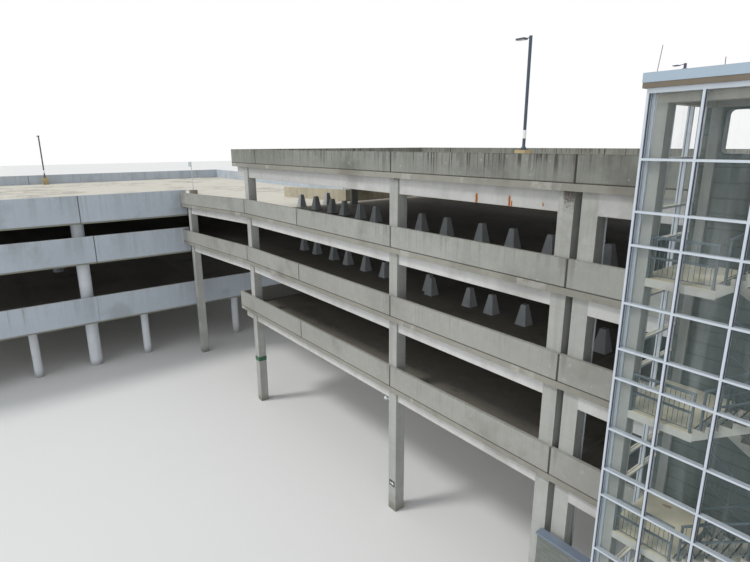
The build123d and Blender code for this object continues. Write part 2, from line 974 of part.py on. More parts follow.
with BuildPart() as low_wall_coping:
    block(
        (expansion_x - coping_overhang, low_wall_east),
        (-low_wall_front - coping_overhang, wall_back + coping_overhang),
        (low_wall_height, low_wall_height + coping_thick),
    )
save(low_wall_coping, "low_wall_coping")

# Lamps: pedestals, poles with a short arm to the west, and one head each
lamp_places = [(lamp_x, lamp_y, roof_deck, lamp_top), (far_lamp_x, far_lamp_y, side_deck_3, far_lamp_top)]

with BuildPart() as lamp_pedestals:
    for x, y, floor, top in lamp_places:
        posts([(x, y)], pedestal_size, (floor, floor + pedestal_height))
save(lamp_pedestals, "lamp_pedestals")

with BuildPart() as lamp_poles:
    for x, y, floor, top in lamp_places:
        round_posts([(x, y)], pole_diameter, (floor + pedestal_height, top))
        with BuildSketch(Plane.YZ.offset(place_x(x - arm_length))) as arm:
            with Locations((place_y(y), top - lamp_head_thick)):
                Circle(arm_diameter / 2)
        extrude(arm.sketch, amount=arm_length)
save(lamp_poles, "lamp_poles")

with BuildPart() as lamp_heads:
    for x, y, floor, top in lamp_places:
        low = top - lamp_head_thick * 3 / 2
        block(
            (x - arm_length - lamp_head_length, x - arm_length),
            (y - lamp_head_width / 2, y + lamp_head_width / 2),
            (low, low + lamp_head_thick),
        )
save(lamp_heads, "lamp_heads")

# Guide post: a round concrete foot and a thin pole
guide_place = [(guide_post_x, guide_post_y)]
guide_foot_top = side_deck_3 + guide_base_height

with BuildPart() as guide_post_foot:
    round_posts(guide_place, guide_base_diameter, (side_deck_3, guide_foot_top))
save(guide_post_foot, "guide_post_foot")

with BuildPart() as guide_post:
    round_posts(guide_place, guide_post_diameter, (guide_foot_top, side_deck_3 + guide_post_height))
save(guide_post, "guide_post")

guide_sign_top = side_deck_3 + guide_post_height - guide_sign_drop
guide_face = guide_post_y - guide_post_diameter / 2

with BuildPart() as guide_sign:
    block(
        (guide_post_x - guide_sign_width, guide_post_x),
        (guide_face - sign_thick, guide_face),
        (guide_sign_top - guide_sign_height, guide_sign_top),
    )
save(guide_sign, "guide_sign")

# Camera on its bracket, and bare sign plates on two columns
column_3_west = column_line_3 - half_column
dome_x = column_3_west - camera_arm_length

with BuildPart() as ceiling_camera:
    with BuildSketch(Plane.YZ.offset(place_x(dome_x))) as bracket:
        with Locations((place_y(column_front + half_column), camera_height)):
            Circle(camera_arm_diameter / 2)
    extrude(bracket.sketch, amount=camera_arm_length)
    with Locations((place_x(dome_x), place_y(column_front + half_column), camera_height)):
        Sphere(camera_dome_diameter / 2)
save(ceiling_camera, "ceiling_camera")

with BuildPart() as arrow_sign:
    block(
        (column_line_3 - arrow_sign_width / 2, column_line_3 + arrow_sign_width / 2),
        (column_front - sign_thick, column_front),
        (arrow_sign_z, arrow_sign_z + arrow_sign_height),
    )
save(arrow_sign, "arrow_sign")

with BuildPart() as column_band_sign:
    with BuildSketch(Plane.XY.offset(wrap_sign_z)) as wrap:
        with Locations((place_x(column_line_2), place_y(column_front + half_column))):
            Rectangle(column_size + 2 * sign_thick, column_size + 2 * sign_thick)
            Rectangle(column_size, column_size, mode=Mode.SUBTRACT)
    extrude(wrap.sketch, amount=wrap_sign_height)
save(column_band_sign, "column_band_sign")
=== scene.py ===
"""Looks of the multi storey car park model: concrete, glazing, railings, fittings, light and camera."""

from math import pi, radians

import bmesh
import bpy
import numpy as np
from mathutils import Matrix, Vector


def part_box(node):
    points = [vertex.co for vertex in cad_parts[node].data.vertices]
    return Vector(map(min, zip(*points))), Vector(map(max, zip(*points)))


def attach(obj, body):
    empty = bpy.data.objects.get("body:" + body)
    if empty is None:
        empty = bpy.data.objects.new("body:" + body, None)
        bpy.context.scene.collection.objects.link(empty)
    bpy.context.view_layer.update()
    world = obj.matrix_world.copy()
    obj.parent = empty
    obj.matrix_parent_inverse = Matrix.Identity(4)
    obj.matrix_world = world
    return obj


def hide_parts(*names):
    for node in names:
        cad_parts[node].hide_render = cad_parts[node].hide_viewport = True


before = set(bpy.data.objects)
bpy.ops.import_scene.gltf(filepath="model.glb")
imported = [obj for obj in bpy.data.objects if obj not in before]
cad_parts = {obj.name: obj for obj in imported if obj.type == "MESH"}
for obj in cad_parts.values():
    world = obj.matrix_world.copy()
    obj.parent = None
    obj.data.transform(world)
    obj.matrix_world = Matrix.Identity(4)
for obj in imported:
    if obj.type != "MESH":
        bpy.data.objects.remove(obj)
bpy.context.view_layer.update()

# Camera, solved from the building's own edges
PHOTO_WIDTH = 750
FOCAL_PIXELS = 525.0
SENSOR_WIDTH = 36
CAMERA_PLACE = (4.4056, -1.1797, 1.9814)
CAMERA_TURN = radians(52.22)
CAMERA_DIP = radians(14.636)
CAMERA_ROLL = radians(-0.2)

# Places on the building that several pieces and finishes share, in metres
FRONT_Y = 0.423
REAR_Y = 2.323
KNEE_X = 0.7805
CORNER_X = -0.6585
ROOF_END_X = 0.6135
COLUMN_3_X = 2.4645
COLUMN_4_X = 3.3835
JOINT_X = 3.4175
LINK_DROP = 0.052
DECKS = ("main_deck_1", "main_deck_2", "main_deck_3", "main_roof_deck")
PARAPET_HEIGHTS = {"parapets_1": 0.116, "parapets_2": 0.108, "parapets_3": 0.105, "parapets_roof": 0.096}
PARAPET_JOINTS = {
    "parapets_1": (1.5475, COLUMN_3_X - 0.005, JOINT_X),
    "parapets_2": (KNEE_X, 1.5475, COLUMN_3_X - 0.005, JOINT_X),
    "parapets_3": (KNEE_X, 1.5475, COLUMN_3_X - 0.005, JOINT_X),
    "parapets_roof": (1.0105, COLUMN_3_X - 0.005, JOINT_X),
}
BAND_JOINTS = {"side_bands_1": (), "side_bands_2": (-0.347,), "side_bands_3": (-0.428,)}
STAIR_MIDDLE_Y = sum(corner.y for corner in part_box("stair_railings")) / 2

# Rust on the roof beam: place along X, half width, and the heights where it starts and ends
ROOF_BEAM_RUST = (
    (2.974, 0.007, 1.751, 1.794),
    (3.1365, 0.0058, 1.751, 1.796),
    (3.1475, 0.0035, 1.751, 1.778),
    (3.2855, 0.0032, 1.763, 1.782),
)
# Black stains on the columns: place along X, reach, and the heights between which they fade in
COLUMN_STAINS = ((COLUMN_4_X + 0.02, 0.05, 1.66, 1.86), (COLUMN_3_X + 0.022, 0.036, 1.77, 1.85))

# Reading solids: how finely their points are told apart, and how near counts as the same place
POINTS_A_METRE = 20000
NEAR = 0.001
FRONT_ROW_DEPTH = 0.1

# Sizes of the added details, in metres
PICKET_GAP = 0.0115
PICKET_RADIUS = 0.0008
LOW_ROD_RADIUS = PICKET_RADIUS * 1.6
RAIL_HEIGHT = 0.1
RAIL_HALF = 0.0025
HANDRAIL_RADIUS = 0.0032
HANDRAIL_SINK = 0.001
LANDING_ROD_LIFT = 0.009
FLIGHT_ROD_LIFT = 0.012
NOSING_WIDTH = 0.0035
NOSING_INSET = 0.004
NOSING_DEPTH = 0.0008
NOSING_PROUD = 0.0004
SEALANT_SET_BACK = 0.0035
SEALANT_DROP = 0.002
WIDEST_JOINT = 0.006
BLOCK_LENGTH = 0.04
BLOCK_HEIGHT = 0.02
BLOCK_WEAR = 0.0006
MORTAR = 0.001
GASKET_REACH = 0.0022
GASKET_THICK = 0.001
CAP_DEPTH = 0.004
MULLION_HALF = 0.00275
TOWER_BAYS = 6
DOOR_X = 4.2895
DOOR_WIDTH = 0.11
DOOR_HEIGHT = 0.225
DOOR_BAR = 0.005
DOOR_SILLS = (0.0, 0.752, 1.139, 1.492, 1.851)
PIPE_COLUMN_WEST = 3.4415
PIPE_RADIUS = 0.003
PIPE_GAP = 0.0035
PIPE_SET_BACK = 0.008
PIPE_END_GAP = 0.0005
CLIP_START = 0.05
CLIP_WEST = 0.0036
CLIP_EAST = 0.0038
CLIP_HALF = 0.0042
CLIP_PITCH = 0.12
CLIP_HEIGHT = 0.003
COVER_HALF = 0.007
COVER_INSET = 0.02
COVER_THICK = 0.0012
TOP_WINDOW = (3.8475, 4.1755, 1.951, 2.066)
TOP_WINDOW_CORNER = 0.016
TOP_WINDOW_FRAME = 0.003
TOP_WINDOW_PROUD = 0.001
# The thin rods on the tower's roof: foot and top along X, and height; then the lamp's foot
ROOF_RODS = ((3.8082, 3.8137, 0.054), (3.942, 3.9416, 0.015))
ROOF_LAMP_X = 3.8656
ROOF_LAMP_HALF = 0.003
ROOF_ROD_RADIUS = 0.0007
ROOF_EDGE_INSET = 0.004
LAMP_PLATE_HALF = 0.017
LAMP_PLATE_THICK = 0.003
BOLT_SPREAD = 0.013
BOLT_HEIGHT = 0.004
BOLT_RADIUS = 0.002
BAND_DROP = 0.05
LENS_INSET = (0.006, 0.005)
LENS_DEPTH = 0.0016
ARROW_PROUD = 0.0006
DOME_SPAN = (radians(-88), radians(-12))
DOME_WIDTH = 0.9
ROUND_SIDES = 20
CORNER_STEPS = 7

# Light
SKY_STRENGTH = 0.7
SKY_COLOUR = (0.93, 0.96, 1.0, 1)
SUN_STRENGTH = 1.35
SUN_COLOUR = (1.0, 0.98, 0.95)
SUN_SPREAD = 12
SUN_FROM = (-0.35, -0.8, 1.15)
FILL_STRENGTH = 0.7
FILL_COLOUR = (0.96, 0.98, 1.0)
FILL_SPREAD = 70
FILL_FROM = (0.35, -1.0, 0.32)
FLOOR_REACH = 60.0
FLOOR_TONES = ((0.755, 0.755, 0.745, 1), (0.77, 0.77, 0.76, 1))

# Concrete's relief and dullness, and how far apart the marks of its forms are
PORE_DEPTH = 0.0012
DULLNESS = (0.78, 0.95)
FORM_PITCH = 0.24
BEAM_FORM_PITCH = 0.122
POURS_A_METRE = 25.0

# Tones, from 0 to 255 as they are seen on a screen. First the decks' own
DECK_EDGE = (150, 149, 140)
DECK_EDGE_DARK = (116, 113, 104)
# The floor tones are darkened as painted shade under the deck above. The open tone is paled as painted
# sunlight over real bleaching.
DECK_FLOOR = (128, 124, 115)
DECK_FLOOR_DARK = (92, 89, 82)
DECK_SUNLIT_BLEACHED = (204, 200, 189)
# Each parapet row: its pale, middle and dark tones, its streaks and their share, and whether it falls
LOWER_ROWS = ((158, 158, 152), (149, 149, 143), (128, 128, 121))
THIRD_ROW = ((160, 161, 155), (149, 150, 144), (124, 124, 117))
ROOF_ROW = ((140, 141, 134), (127, 128, 121), (101, 101, 95))
PARAPET_LOOKS = {
    "parapets_1": (LOWER_ROWS, (108, 106, 99), 0.14, False),
    "parapets_2": (LOWER_ROWS, (108, 106, 99), 0.16, True),
    "parapets_3": (THIRD_ROW, (96, 94, 88), 0.24, True),
    "parapets_roof": (ROOF_ROW, (60, 58, 53), 0.85, False),
}
BEAM_TONES = ((202, 202, 200), (190, 190, 187), (162, 161, 156))
ROOF_BEAM_TONES = ((190, 190, 188), (179, 179, 176), (152, 151, 146))
# Plain concretes: pale, middle and dark tones, then the run marks' share, dirt's height and blotches' scale
PLAIN_CONCRETES = {
    "barrier_blocks": ((196, 200, 202), (184, 188, 190), (152, 155, 157)),
    "deck_3_inner_wall": ((190, 183, 162), (176, 169, 149), (132, 126, 110), 0.4),
    "side_beams": ((150, 149, 144), (136, 135, 130), (108, 107, 102)),
    "round_columns": ((226, 231, 237), (217, 222, 228), (184, 188, 190), 0.25, 0.05, 1.2),
    "slim_columns": ((226, 230, 235), (217, 221, 226), (184, 187, 188), 0.25, 0.05, 1.2),
    "guide_post_foot": ((132, 130, 118), (116, 114, 102), (88, 86, 76)),
    "tower_columns": ((154, 157, 152), (144, 147, 142), (114, 115, 109), 0.35, 0.05),
    "tower_head_beam": ((170, 168, 158), (156, 153, 143), (126, 122, 112)),
    "tower_thresholds": ((168, 168, 160), (150, 150, 142), (118, 117, 110)),
    "stair_waists": ((180, 181, 173), (166, 167, 160), (132, 132, 125)),
    "stair_steps": ((184, 182, 172), (168, 166, 156), (130, 128, 119)),
    "lamp_pedestals": ((196, 180, 140), (174, 158, 120), (128, 116, 92)),
}
# Painted metals: name, tone and worn tone, then dullness, share of wear, metal share and a pale top tone,
# which is painted sunlight
PAINTED_METALS = {
    "guide_post": ("guide_post_steel", (196, 198, 210), (150, 150, 156)),
    "guide_sign": ("guide_sign_plate", (176, 188, 186), (140, 150, 150)),
    "arrow_sign": ("arrow_sign_plate", (66, 70, 72), (92, 96, 98)),
    "column_band_sign": ("column_band_plate", (46, 96, 66), (92, 128, 104)),
    "ceiling_camera": ("camera_shell", (216, 218, 222), (180, 182, 186), 0.25),
    "low_wall_coping": ("coping_steel", (118, 130, 146), (96, 104, 114), 0.4),
    "tower_frame_front": ("tower_front_aluminium", (196, 204, 212), (168, 176, 184), 0.36, 0.3, 0.25),
    # The side frame's last tone is painted sunlight on its upward faces.
    "tower_frame_sides": (
        "tower_side_aluminium", (190, 198, 206), (160, 168, 176), 0.36, 0.3, 0.25, (236, 229, 206),
    ),
    "tower_roof_band": ("roof_band_metal", (108, 99, 84), (84, 76, 64), 0.5),
    "tower_fascia": ("fascia_metal", (158, 174, 188), (142, 156, 168), 0.42, 0.15),
    "stair_railings": ("stair_rail_paint", (74, 86, 91), (108, 116, 118), 0.4),
    "landing_railings": ("landing_rail_paint", (70, 82, 88), (106, 114, 118), 0.4),
    "lamp_poles": ("lamp_pole_paint", (58, 72, 88), (88, 100, 112), 0.4, 0.3),
    "lamp_heads": ("lamp_head_paint", (78, 88, 98), (104, 112, 120), 0.4),
}


# Reading the frame
def solid_boxes(name):
    """The lowest and highest corners of each separate solid of a CAD node, from west to east."""
    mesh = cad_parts[name].data
    places = np.empty(len(mesh.vertices) * 3, np.float32)
    mesh.vertices.foreach_get("co", places)
    places = places.reshape(-1, 3)
    corners = np.empty(len(mesh.loops), np.int32)
    mesh.loops.foreach_get("vertex_index", corners)
    _, shared = np.unique(np.round(places * POINTS_A_METRE).astype(np.int64), axis=0, return_inverse=True)
    triangles = shared.reshape(-1)[corners].reshape(-1, 3)
    label = np.arange(shared.max() + 1)
    while True:
        lowest = label[triangles].min(1)
        joined = label.copy()
        np.minimum.at(joined, triangles.reshape(-1), np.repeat(lowest, 3))
        if np.array_equal(joined, label):
            break
        label = joined
    owner = label[shared.reshape(-1)]
    found = []
    for one in np.unique(owner):
        own = places[owner == one].astype(float)
        found.append((own.min(0), own.max(0)))
    return sorted(found, key=lambda pair: tuple(np.round(pair[0], 4)))


# Making meshes from arrays
CUBE = np.array([[x, y, z] for z in (0, 1) for y in (0, 1) for x in (0, 1)], float)
CUBE_FACES = np.array([[0, 2, 3, 1], [4, 5, 7, 6], [0, 1, 5, 4], [2, 6, 7, 3], [0, 4, 6, 2], [1, 3, 7, 5]])


def boxes(pairs):
    """Straight boxes from pairs of low and high corners: the unit cube's corners scaled and moved."""
    pairs = np.asarray(pairs, float).reshape(-1, 2, 3)
    lows = pairs[:, :1]
    places = lows + CUBE[None] * (pairs[:, 1:] - lows)
    faces = CUBE_FACES[None] + 8 * np.arange(len(pairs))[:, None, None]
    return places.reshape(-1, 3), faces.reshape(-1, 4).tolist()


def capped(rings):
    """A closed skin over rings of points: each ring is joined to the next, and the end ones are filled."""
    rows, count = rings.shape[:2]
    start = np.arange(rows - 1)[:, None] * count
    here = start + np.arange(count)
    after = start + (np.arange(count) + 1) % count
    faces = np.stack([here, after, after + count, here + count], 2).reshape(-1, 4).tolist()
    faces.append(list(range(count))[::-1])
    faces.append(list(range((rows - 1) * count, rows * count)))
    return rings.reshape(-1, 3), faces


def circle(sides):
    """The cosines and sines of a whole turn cut into even steps."""
    angle = 2 * pi * np.arange(sides) / sides
    return np.cos(angle), np.sin(angle)


def rods(feet, heads, radius, sides=6):
    """Straight rods: a circle of the given radius about each axis, at both of its ends."""
    feet = np.asarray(feet, float).reshape(-1, 3)
    heads = np.asarray(heads, float).reshape(-1, 3)
    run = heads - feet
    run = run / np.linalg.norm(run, axis=1, keepdims=True)
    side = np.cross(run, np.where(np.abs(run[:, 2:]) > 0.9, [[1.0, 0, 0]], [[0, 0, 1.0]]))
    side = side / np.linalg.norm(side, axis=1, keepdims=True)
    up = np.cross(run, side)
    across, along = circle(sides)
    ring = radius * (across[None, :, None] * side[:, None] + along[None, :, None] * up[:, None])
    places = np.stack([feet[:, None] + ring, heads[:, None] + ring], 1)
    _, wall = capped(places[0])
    starts = range(0, len(feet) * 2 * sides, 2 * sides)
    return places.reshape(-1, 3), [[i + start for i in face] for start in starts for face in wall]


def tube(path, across, radius, sides):
    """A bent pipe in one plane: a circle about each point of the path, square to the mean of its runs."""
    path = np.asarray(path, float)
    across = np.asarray(across, float)
    run = np.gradient(path, axis=0)
    run = run / np.linalg.norm(run, axis=1, keepdims=True)
    up = np.cross(run, across)
    wide, high = circle(sides)
    ring = wide[None, :, None] * across + high[None, :, None] * up[:, None]
    return capped(path[:, None] + radius * ring)


def turned(profile, centre, sides):
    """A turned shape: a profile of radius and height carried round an upright axis, with flat ends."""
    profile = np.asarray(profile, float)
    flat = profile[:, None, :1] * np.stack(circle(sides), 1)[None]
    height = np.broadcast_to(profile[:, None, 1:], flat.shape[:2] + (1,))
    return capped(np.concatenate([flat, height], 2) + np.asarray(centre, float))


def prism(outline, front, rear):
    """A flat outline in X and Z given thickness from front to rear along Y."""
    return capped(np.stack([np.insert(outline, 1, y, axis=1) for y in (front, rear)]))


def together(*shapes):
    """Several shapes as one: their corners in a row, with the face numbers moved along."""
    places = []
    faces = []
    count = 0
    for own_places, own_faces in shapes:
        places.append(np.asarray(own_places, float))
        faces += [[i + count for i in face] for face in own_faces]
        count += len(own_places)
    return np.concatenate(places), faces


def outward(made):
    """Turns every face of a closed mesh outward."""
    work = bmesh.new()
    work.from_mesh(made.data)
    bmesh.ops.recalc_face_normals(work, faces=work.faces)
    work.to_mesh(made.data)
    work.free()


def piece(name, shape, finish, replaces=(), smooth=False, bevel=0):
    """A finished piece of the object, with its normals outward, riding on the building."""
    places, faces = shape
    mesh = bpy.data.meshes.new(name)
    mesh.from_pydata(places.tolist(), [], faces)
    mesh.validate()
    mesh.polygons.foreach_set("use_smooth", [smooth] * len(mesh.polygons))
    made = bpy.data.objects.new(name, mesh)
    bpy.context.scene.collection.objects.link(made)
    outward(made)
    mesh.materials.append(finish)
    if bevel:
        edge = made.modifiers.new("worn_edge", "BEVEL")
        edge.width = bevel
        edge.segments = 2
        edge.limit_method = "ANGLE"
    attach(made, "root")
    if replaces:
        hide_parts(*replaces)


# Making finishes from nodes
def seen(red, green, blue):
    """A colour as it is seen on a screen, from 0 to 255, as the shader takes it."""
    share = np.array([red, green, blue], float) / 255
    linear = np.where(share <= 0.04045, share / 12.92, ((share + 0.055) / 1.055) ** 2.4)
    return (*linear.tolist(), 1.0)


def feed(tree, socket, value):
    """Gives a socket a number, links another socket to it, or gives it a tone of three numbers."""
    if isinstance(value, bpy.types.NodeSocket):
        tree.links.new(value, socket)
    elif isinstance(value, tuple) and len(value) == 3:
        socket.default_value = seen(*value)
    else:
        socket.default_value = value


def start_finish(name):
    """A new finish, its node tree, its shader and the piece's own coordinates."""
    made = bpy.data.materials.new(name)
    made.use_nodes = True
    tree = made.node_tree
    where = tree.nodes.new("ShaderNodeTexCoord").outputs["Object"]
    return made, tree, tree.nodes["Principled BSDF"], where


def stretched(tree, where, scale, move=(0, 0, 0)):
    """Coordinates scaled along each axis, then moved."""
    made = tree.nodes.new("ShaderNodeMapping")
    tree.links.new(where, made.inputs["Vector"])
    made.inputs["Scale"].default_value = scale
    made.inputs["Location"].default_value = move
    return made.outputs["Vector"]


def noise(tree, where, scale, detail=4.0, rough=0.55, move=(0, 0, 0)):
    """Cloudy noise from 0 to 1. A scale of three numbers stretches it, and then it can be moved."""
    if isinstance(scale, tuple):
        where, scale = stretched(tree, where, scale, move), 1.0
    made = tree.nodes.new("ShaderNodeTexNoise")
    tree.links.new(where, made.inputs["Vector"])
    made.inputs["Scale"].default_value = scale
    made.inputs["Detail"].default_value = detail
    made.inputs["Roughness"].default_value = rough
    return made.outputs["Fac"]


def pits(tree, where, scale):
    """Distance to the nearest of many scattered points, for pores and stones."""
    made = tree.nodes.new("ShaderNodeTexVoronoi")
    tree.links.new(where, made.inputs["Vector"])
    made.inputs["Scale"].default_value = scale
    return made.outputs["Distance"]


def ramp(tree, value, low, high, first=0.0, last=1.0, soft=True):
    """A value taken from one range to another and held at its ends."""
    made = tree.nodes.new("ShaderNodeMapRange")
    made.interpolation_type = "SMOOTHSTEP" if soft else "LINEAR"
    for socket, number in zip(made.inputs[:5], (value, low, high, first, last)):
        feed(tree, socket, number)
    return made.outputs[0]


def clouds(tree, where, scale, low, high, detail=4.0, rough=0.55, move=(0, 0, 0)):
    """Noise cut at two levels: 0 under the low one and 1 over the high one."""
    return ramp(tree, noise(tree, where, scale, detail, rough, move), low, high)


def sums(tree, way, first, second=0.0):
    """One step of arithmetic."""
    made = tree.nodes.new("ShaderNodeMath")
    made.operation = way
    for socket, value in zip(made.inputs, (first, second)):
        feed(tree, socket, value)
    return made.outputs[0]


def times(tree, *values):
    """The product of several values."""
    result = values[0]
    for value in values[1:]:
        result = sums(tree, "MULTIPLY", result, value)
    return result


def away(tree, value, place):
    """How far a value is from a place, either way."""
    return sums(tree, "ABSOLUTE", sums(tree, "SUBTRACT", value, place))


def mixed(tree, share, first, second):
    """Two colours mixed by a share."""
    made = tree.nodes.new("ShaderNodeMix")
    made.data_type = "RGBA"
    for number, value in ((0, share), (6, first), (7, second)):
        feed(tree, made.inputs[number], value)
    return made.outputs[2]


def stained(tree, colour, tone, *shares):
    """A colour covered by a tone as far as the product of several shares."""
    return mixed(tree, times(tree, *shares), colour, tone)


def split(tree, where):
    """The three coordinates of a place."""
    made = tree.nodes.new("ShaderNodeSeparateXYZ")
    tree.links.new(where, made.inputs[0])
    return made.outputs


def facing(tree):
    """The three parts of the surface's own normal."""
    return split(tree, tree.nodes.new("ShaderNodeNewGeometry").outputs["Normal"])


def faces_along(tree, axis):
    """1 on faces that look along one axis, either way, and 0 on the others."""
    return ramp(tree, sums(tree, "ABSOLUTE", facing(tree)[axis]), 0.6, 0.8)


def bumped(tree, shader, height, strength, distance):
    """Fine relief from a height."""
    made = tree.nodes.new("ShaderNodeBump")
    made.inputs["Strength"].default_value = strength
    made.inputs["Distance"].default_value = distance
    tree.links.new(height, made.inputs["Height"])
    tree.links.new(made.outputs["Normal"], shader.inputs["Normal"])


def weathered(tree, where, pale, middle, dark, blotch=1.6, mottle=26.0):
    """Concrete's own colour: wide blotches from dark to pale under a fine mottle."""
    colour = mixed(tree, clouds(tree, where, blotch, 0.35, 0.65, 5.0, 0.6), middle, pale)
    fine = clouds(tree, where, mottle, 0.3, 0.7, 8.0, 0.68)
    hollow = clouds(tree, stretched(tree, where, (1, 1, 1), (7, 3, 5)), 3.1, 0.52, 0.72, 6.0, 0.6)
    colour = stained(tree, colour, dark, hollow, 0.75)
    return stained(tree, colour, mixed(tree, 0.5, colour, dark), fine, 0.35), fine


def run_marks(tree, where, across, down):
    """Rain's run marks: noise that is narrow across a face and long down it."""
    return clouds(tree, where, (across, across, down), 0.47, 0.68, 6.0, 0.62)


def near_places(tree, value, places, reach):
    """1 at each of several places along one axis, falling to 0 at the given reach."""
    share = 0.0
    for place in places:
        near = ramp(tree, away(tree, value, place), reach * 0.45, reach, 1.0, 0.0)
        share = sums(tree, "MAXIMUM", share, near)
    return share


def even_lines(tree, value, pitch, half, move=0.0):
    """Thin lines at an even pitch along one axis: 1 on each line and 0 between them."""
    gap = sums(tree, "PINGPONG", sums(tree, "ADD", value, move), pitch / 2)
    return ramp(tree, gap, half * 0.4, half, 1.0, 0.0)


def splashed(tree, where, colour, reach):
    """A colour under dirt thrown up from the ground, with a ragged top edge."""
    height = sums(tree, "ADD", split(tree, where)[2], times(tree, noise(tree, where, 18.0), -0.05))
    return stained(tree, colour, (92, 86, 74), ramp(tree, height, -0.03, reach, 0.6, 0.0))


def concrete(made, where, colour, fine, strength=0.5):
    """Ends a concrete finish: its colour, its relief and its uneven dullness."""
    tree = made.node_tree
    shader = tree.nodes["Principled BSDF"]
    tree.links.new(colour, shader.inputs["Base Color"])
    pores = ramp(tree, pits(tree, where, 210.0), 0.0, 0.32)
    height = sums(tree, "ADD", times(tree, fine, 0.6), times(tree, pores, 0.4))
    bumped(tree, shader, height, strength, PORE_DEPTH)
    tree.links.new(ramp(tree, fine, 0.0, 1.0, *DULLNESS, False), shader.inputs["Roughness"])
    shader.inputs["Specular IOR Level"].default_value = 0.25
    return made


# The building's own finishes
def parapet_concrete(node, tones, streak, streak_share, falls):
    """Parapet panels: rain streaks from the top edge, dark open joints, and a dark line at the foot that is
    painted shade in the groove above the slab edge.
    """
    made, tree, _, where = start_finish(node + "_concrete")
    colour, fine = weathered(tree, where, *tones)
    x, _, z = split(tree, where)
    front = faces_along(tree, 1)
    top_gap = sums(tree, "SUBTRACT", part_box(node)[1].z, z)
    if falls:
        top_gap = sums(tree, "SUBTRACT", top_gap, ramp(tree, x, CORNER_X, KNEE_X, LINK_DROP, 0.0, False))
    height = PARAPET_HEIGHTS[node]
    reach = noise(tree, where, (60, 60, 0.2), 2.0, move=(8, 3, 4))
    reach = ramp(tree, reach, 0.3, 0.7, height * 0.25, height * 1.3, False)
    near_top = ramp(tree, sums(tree, "DIVIDE", top_gap, reach), 0.2, 1.0, 0.0, 0.8)
    near_top = sums(tree, "SUBTRACT", 1.0, near_top)
    heavy = clouds(tree, where, (1.3, 1.3, 0.3), 0.36, 0.62, 3.0, move=(3, 1, 2))
    heavy = ramp(tree, heavy, 0.0, 1.0, 0.35, 1.0)
    narrow = clouds(tree, where, (75, 75, 1.6), 0.5, 0.62, 4.0, 0.5)
    broad = clouds(tree, where, (24, 24, 0.8), 0.46, 0.7, 4.0, 0.5, (2, 5, 1))
    colour = stained(tree, colour, streak, narrow, near_top, heavy, streak_share)
    colour = stained(tree, colour, streak, broad, near_top, heavy, 0.55 * streak_share)
    colour = stained(tree, colour, (186, 186, 180), clouds(tree, where, 48.0, 0.66, 0.72, 3.0, 0.5), 0.3)
    lip = ramp(tree, top_gap, 0.0, 0.007, 1.0, 0.0)
    drip = clouds(tree, where, (40, 40, 1), 0.4, 0.6, 3.0, move=(6, 2, 8))
    colour = stained(tree, colour, (70, 64, 56), lip, drip, 0.5, streak_share)
    # The dark line at the foot is painted shade in the groove between the panel and the slab edge.
    foot = ramp(tree, top_gap, height - 0.007, height - 0.003, 0.0, 0.75)
    colour = stained(tree, colour, (70, 66, 60), foot)
    seam = near_places(tree, x, PARAPET_JOINTS[node], 0.006)
    colour = stained(tree, colour, (52, 48, 44), seam, front, 0.9)
    damp = near_places(tree, x, PARAPET_JOINTS[node], 0.05)
    colour = stained(tree, colour, streak, damp, front, near_top, broad, 0.5)
    return concrete(made, where, colour, fine)


def open_share(tree, node, x, z):
    """Where a deck lies open to the sky: west of the roof's end on deck 3, and on the others' top faces."""
    if node == "main_deck_3":
        return ramp(tree, x, ROOF_END_X - 0.03, ROOF_END_X + 0.03, 1.0, 0.0)
    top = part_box(node)[1].z
    return ramp(tree, z, top - 0.006, top - 0.002)


def slab_concrete(node, lies_open):
    """A deck: edges with old repairs, a floor darkened by wear and by painted shade where it is covered, a
    paler soffit, and open areas paled by sun bleaching and painted sunlight.
    """
    made, tree, _, where = start_finish(node + "_concrete")
    x, _, z = split(tree, where)
    up = facing(tree)[2]
    middle = mixed(tree, 0.4, DECK_EDGE, DECK_EDGE_DARK)
    side, fine = weathered(tree, where, DECK_EDGE, middle, DECK_EDGE_DARK)
    patch = clouds(tree, where, (7, 7, 0.4), 0.64, 0.66, 1.0, move=(1, 4, 0))
    side = stained(tree, side, (184, 184, 178), patch, ramp(tree, fine, 0.2, 0.6, 0.3, 1.0), 0.4)
    worn = clouds(tree, where, (30, 30, 60), 0.55, 0.68, 5.0, 0.7)
    side = stained(tree, side, DECK_EDGE_DARK, worn, 0.35)
    middle = mixed(tree, 0.5, DECK_FLOOR, DECK_FLOOR_DARK)
    ground, _ = weathered(tree, where, DECK_FLOOR, middle, DECK_FLOOR_DARK, 0.9)
    lanes = clouds(tree, where, (0.35, 5.0, 1.0), 0.45, 0.7)
    ground = stained(tree, ground, DECK_FLOOR_DARK, lanes, 0.5)
    drips = clouds(tree, where, 9.0, 0.6, 0.72, 6.0, 0.7)
    ground = stained(tree, ground, (58, 55, 50), drips, 0.5)
    if lies_open:
        # Open areas take the pale tone: sun bleaching with painted sunlight. Covered floor keeps the darker
        # tone as painted shade.
        sunlit_bleached, _ = weathered(tree, where, DECK_SUNLIT_BLEACHED, DECK_SUNLIT_BLEACHED, (188, 182, 169), 0.8)
        cracks = ramp(tree, noise(tree, where, 4.0, 9.0, 0.75), 0.5, 0.508, 1.0, 0.0)
        cracked = clouds(tree, where, 0.7, 0.5, 0.6)
        sunlit_bleached = stained(tree, sunlit_bleached, DECK_EDGE_DARK, cracks, cracked, 0.4)
        ground = mixed(tree, open_share(tree, node, x, z), ground, sunlit_bleached)
    soffit, _ = weathered(tree, where, (168, 165, 156), (152, 149, 140), (118, 115, 106), 1.2)
    soffit = stained(tree, soffit, (104, 101, 94), even_lines(tree, x, FORM_PITCH, 0.002), 0.3)
    colour = mixed(tree, ramp(tree, up, 0.4, 0.6), side, ground)
    colour = mixed(tree, ramp(tree, up, -0.6, -0.4, 1.0, 0.0), colour, soffit)
    return concrete(made, where, colour, fine, 0.4)


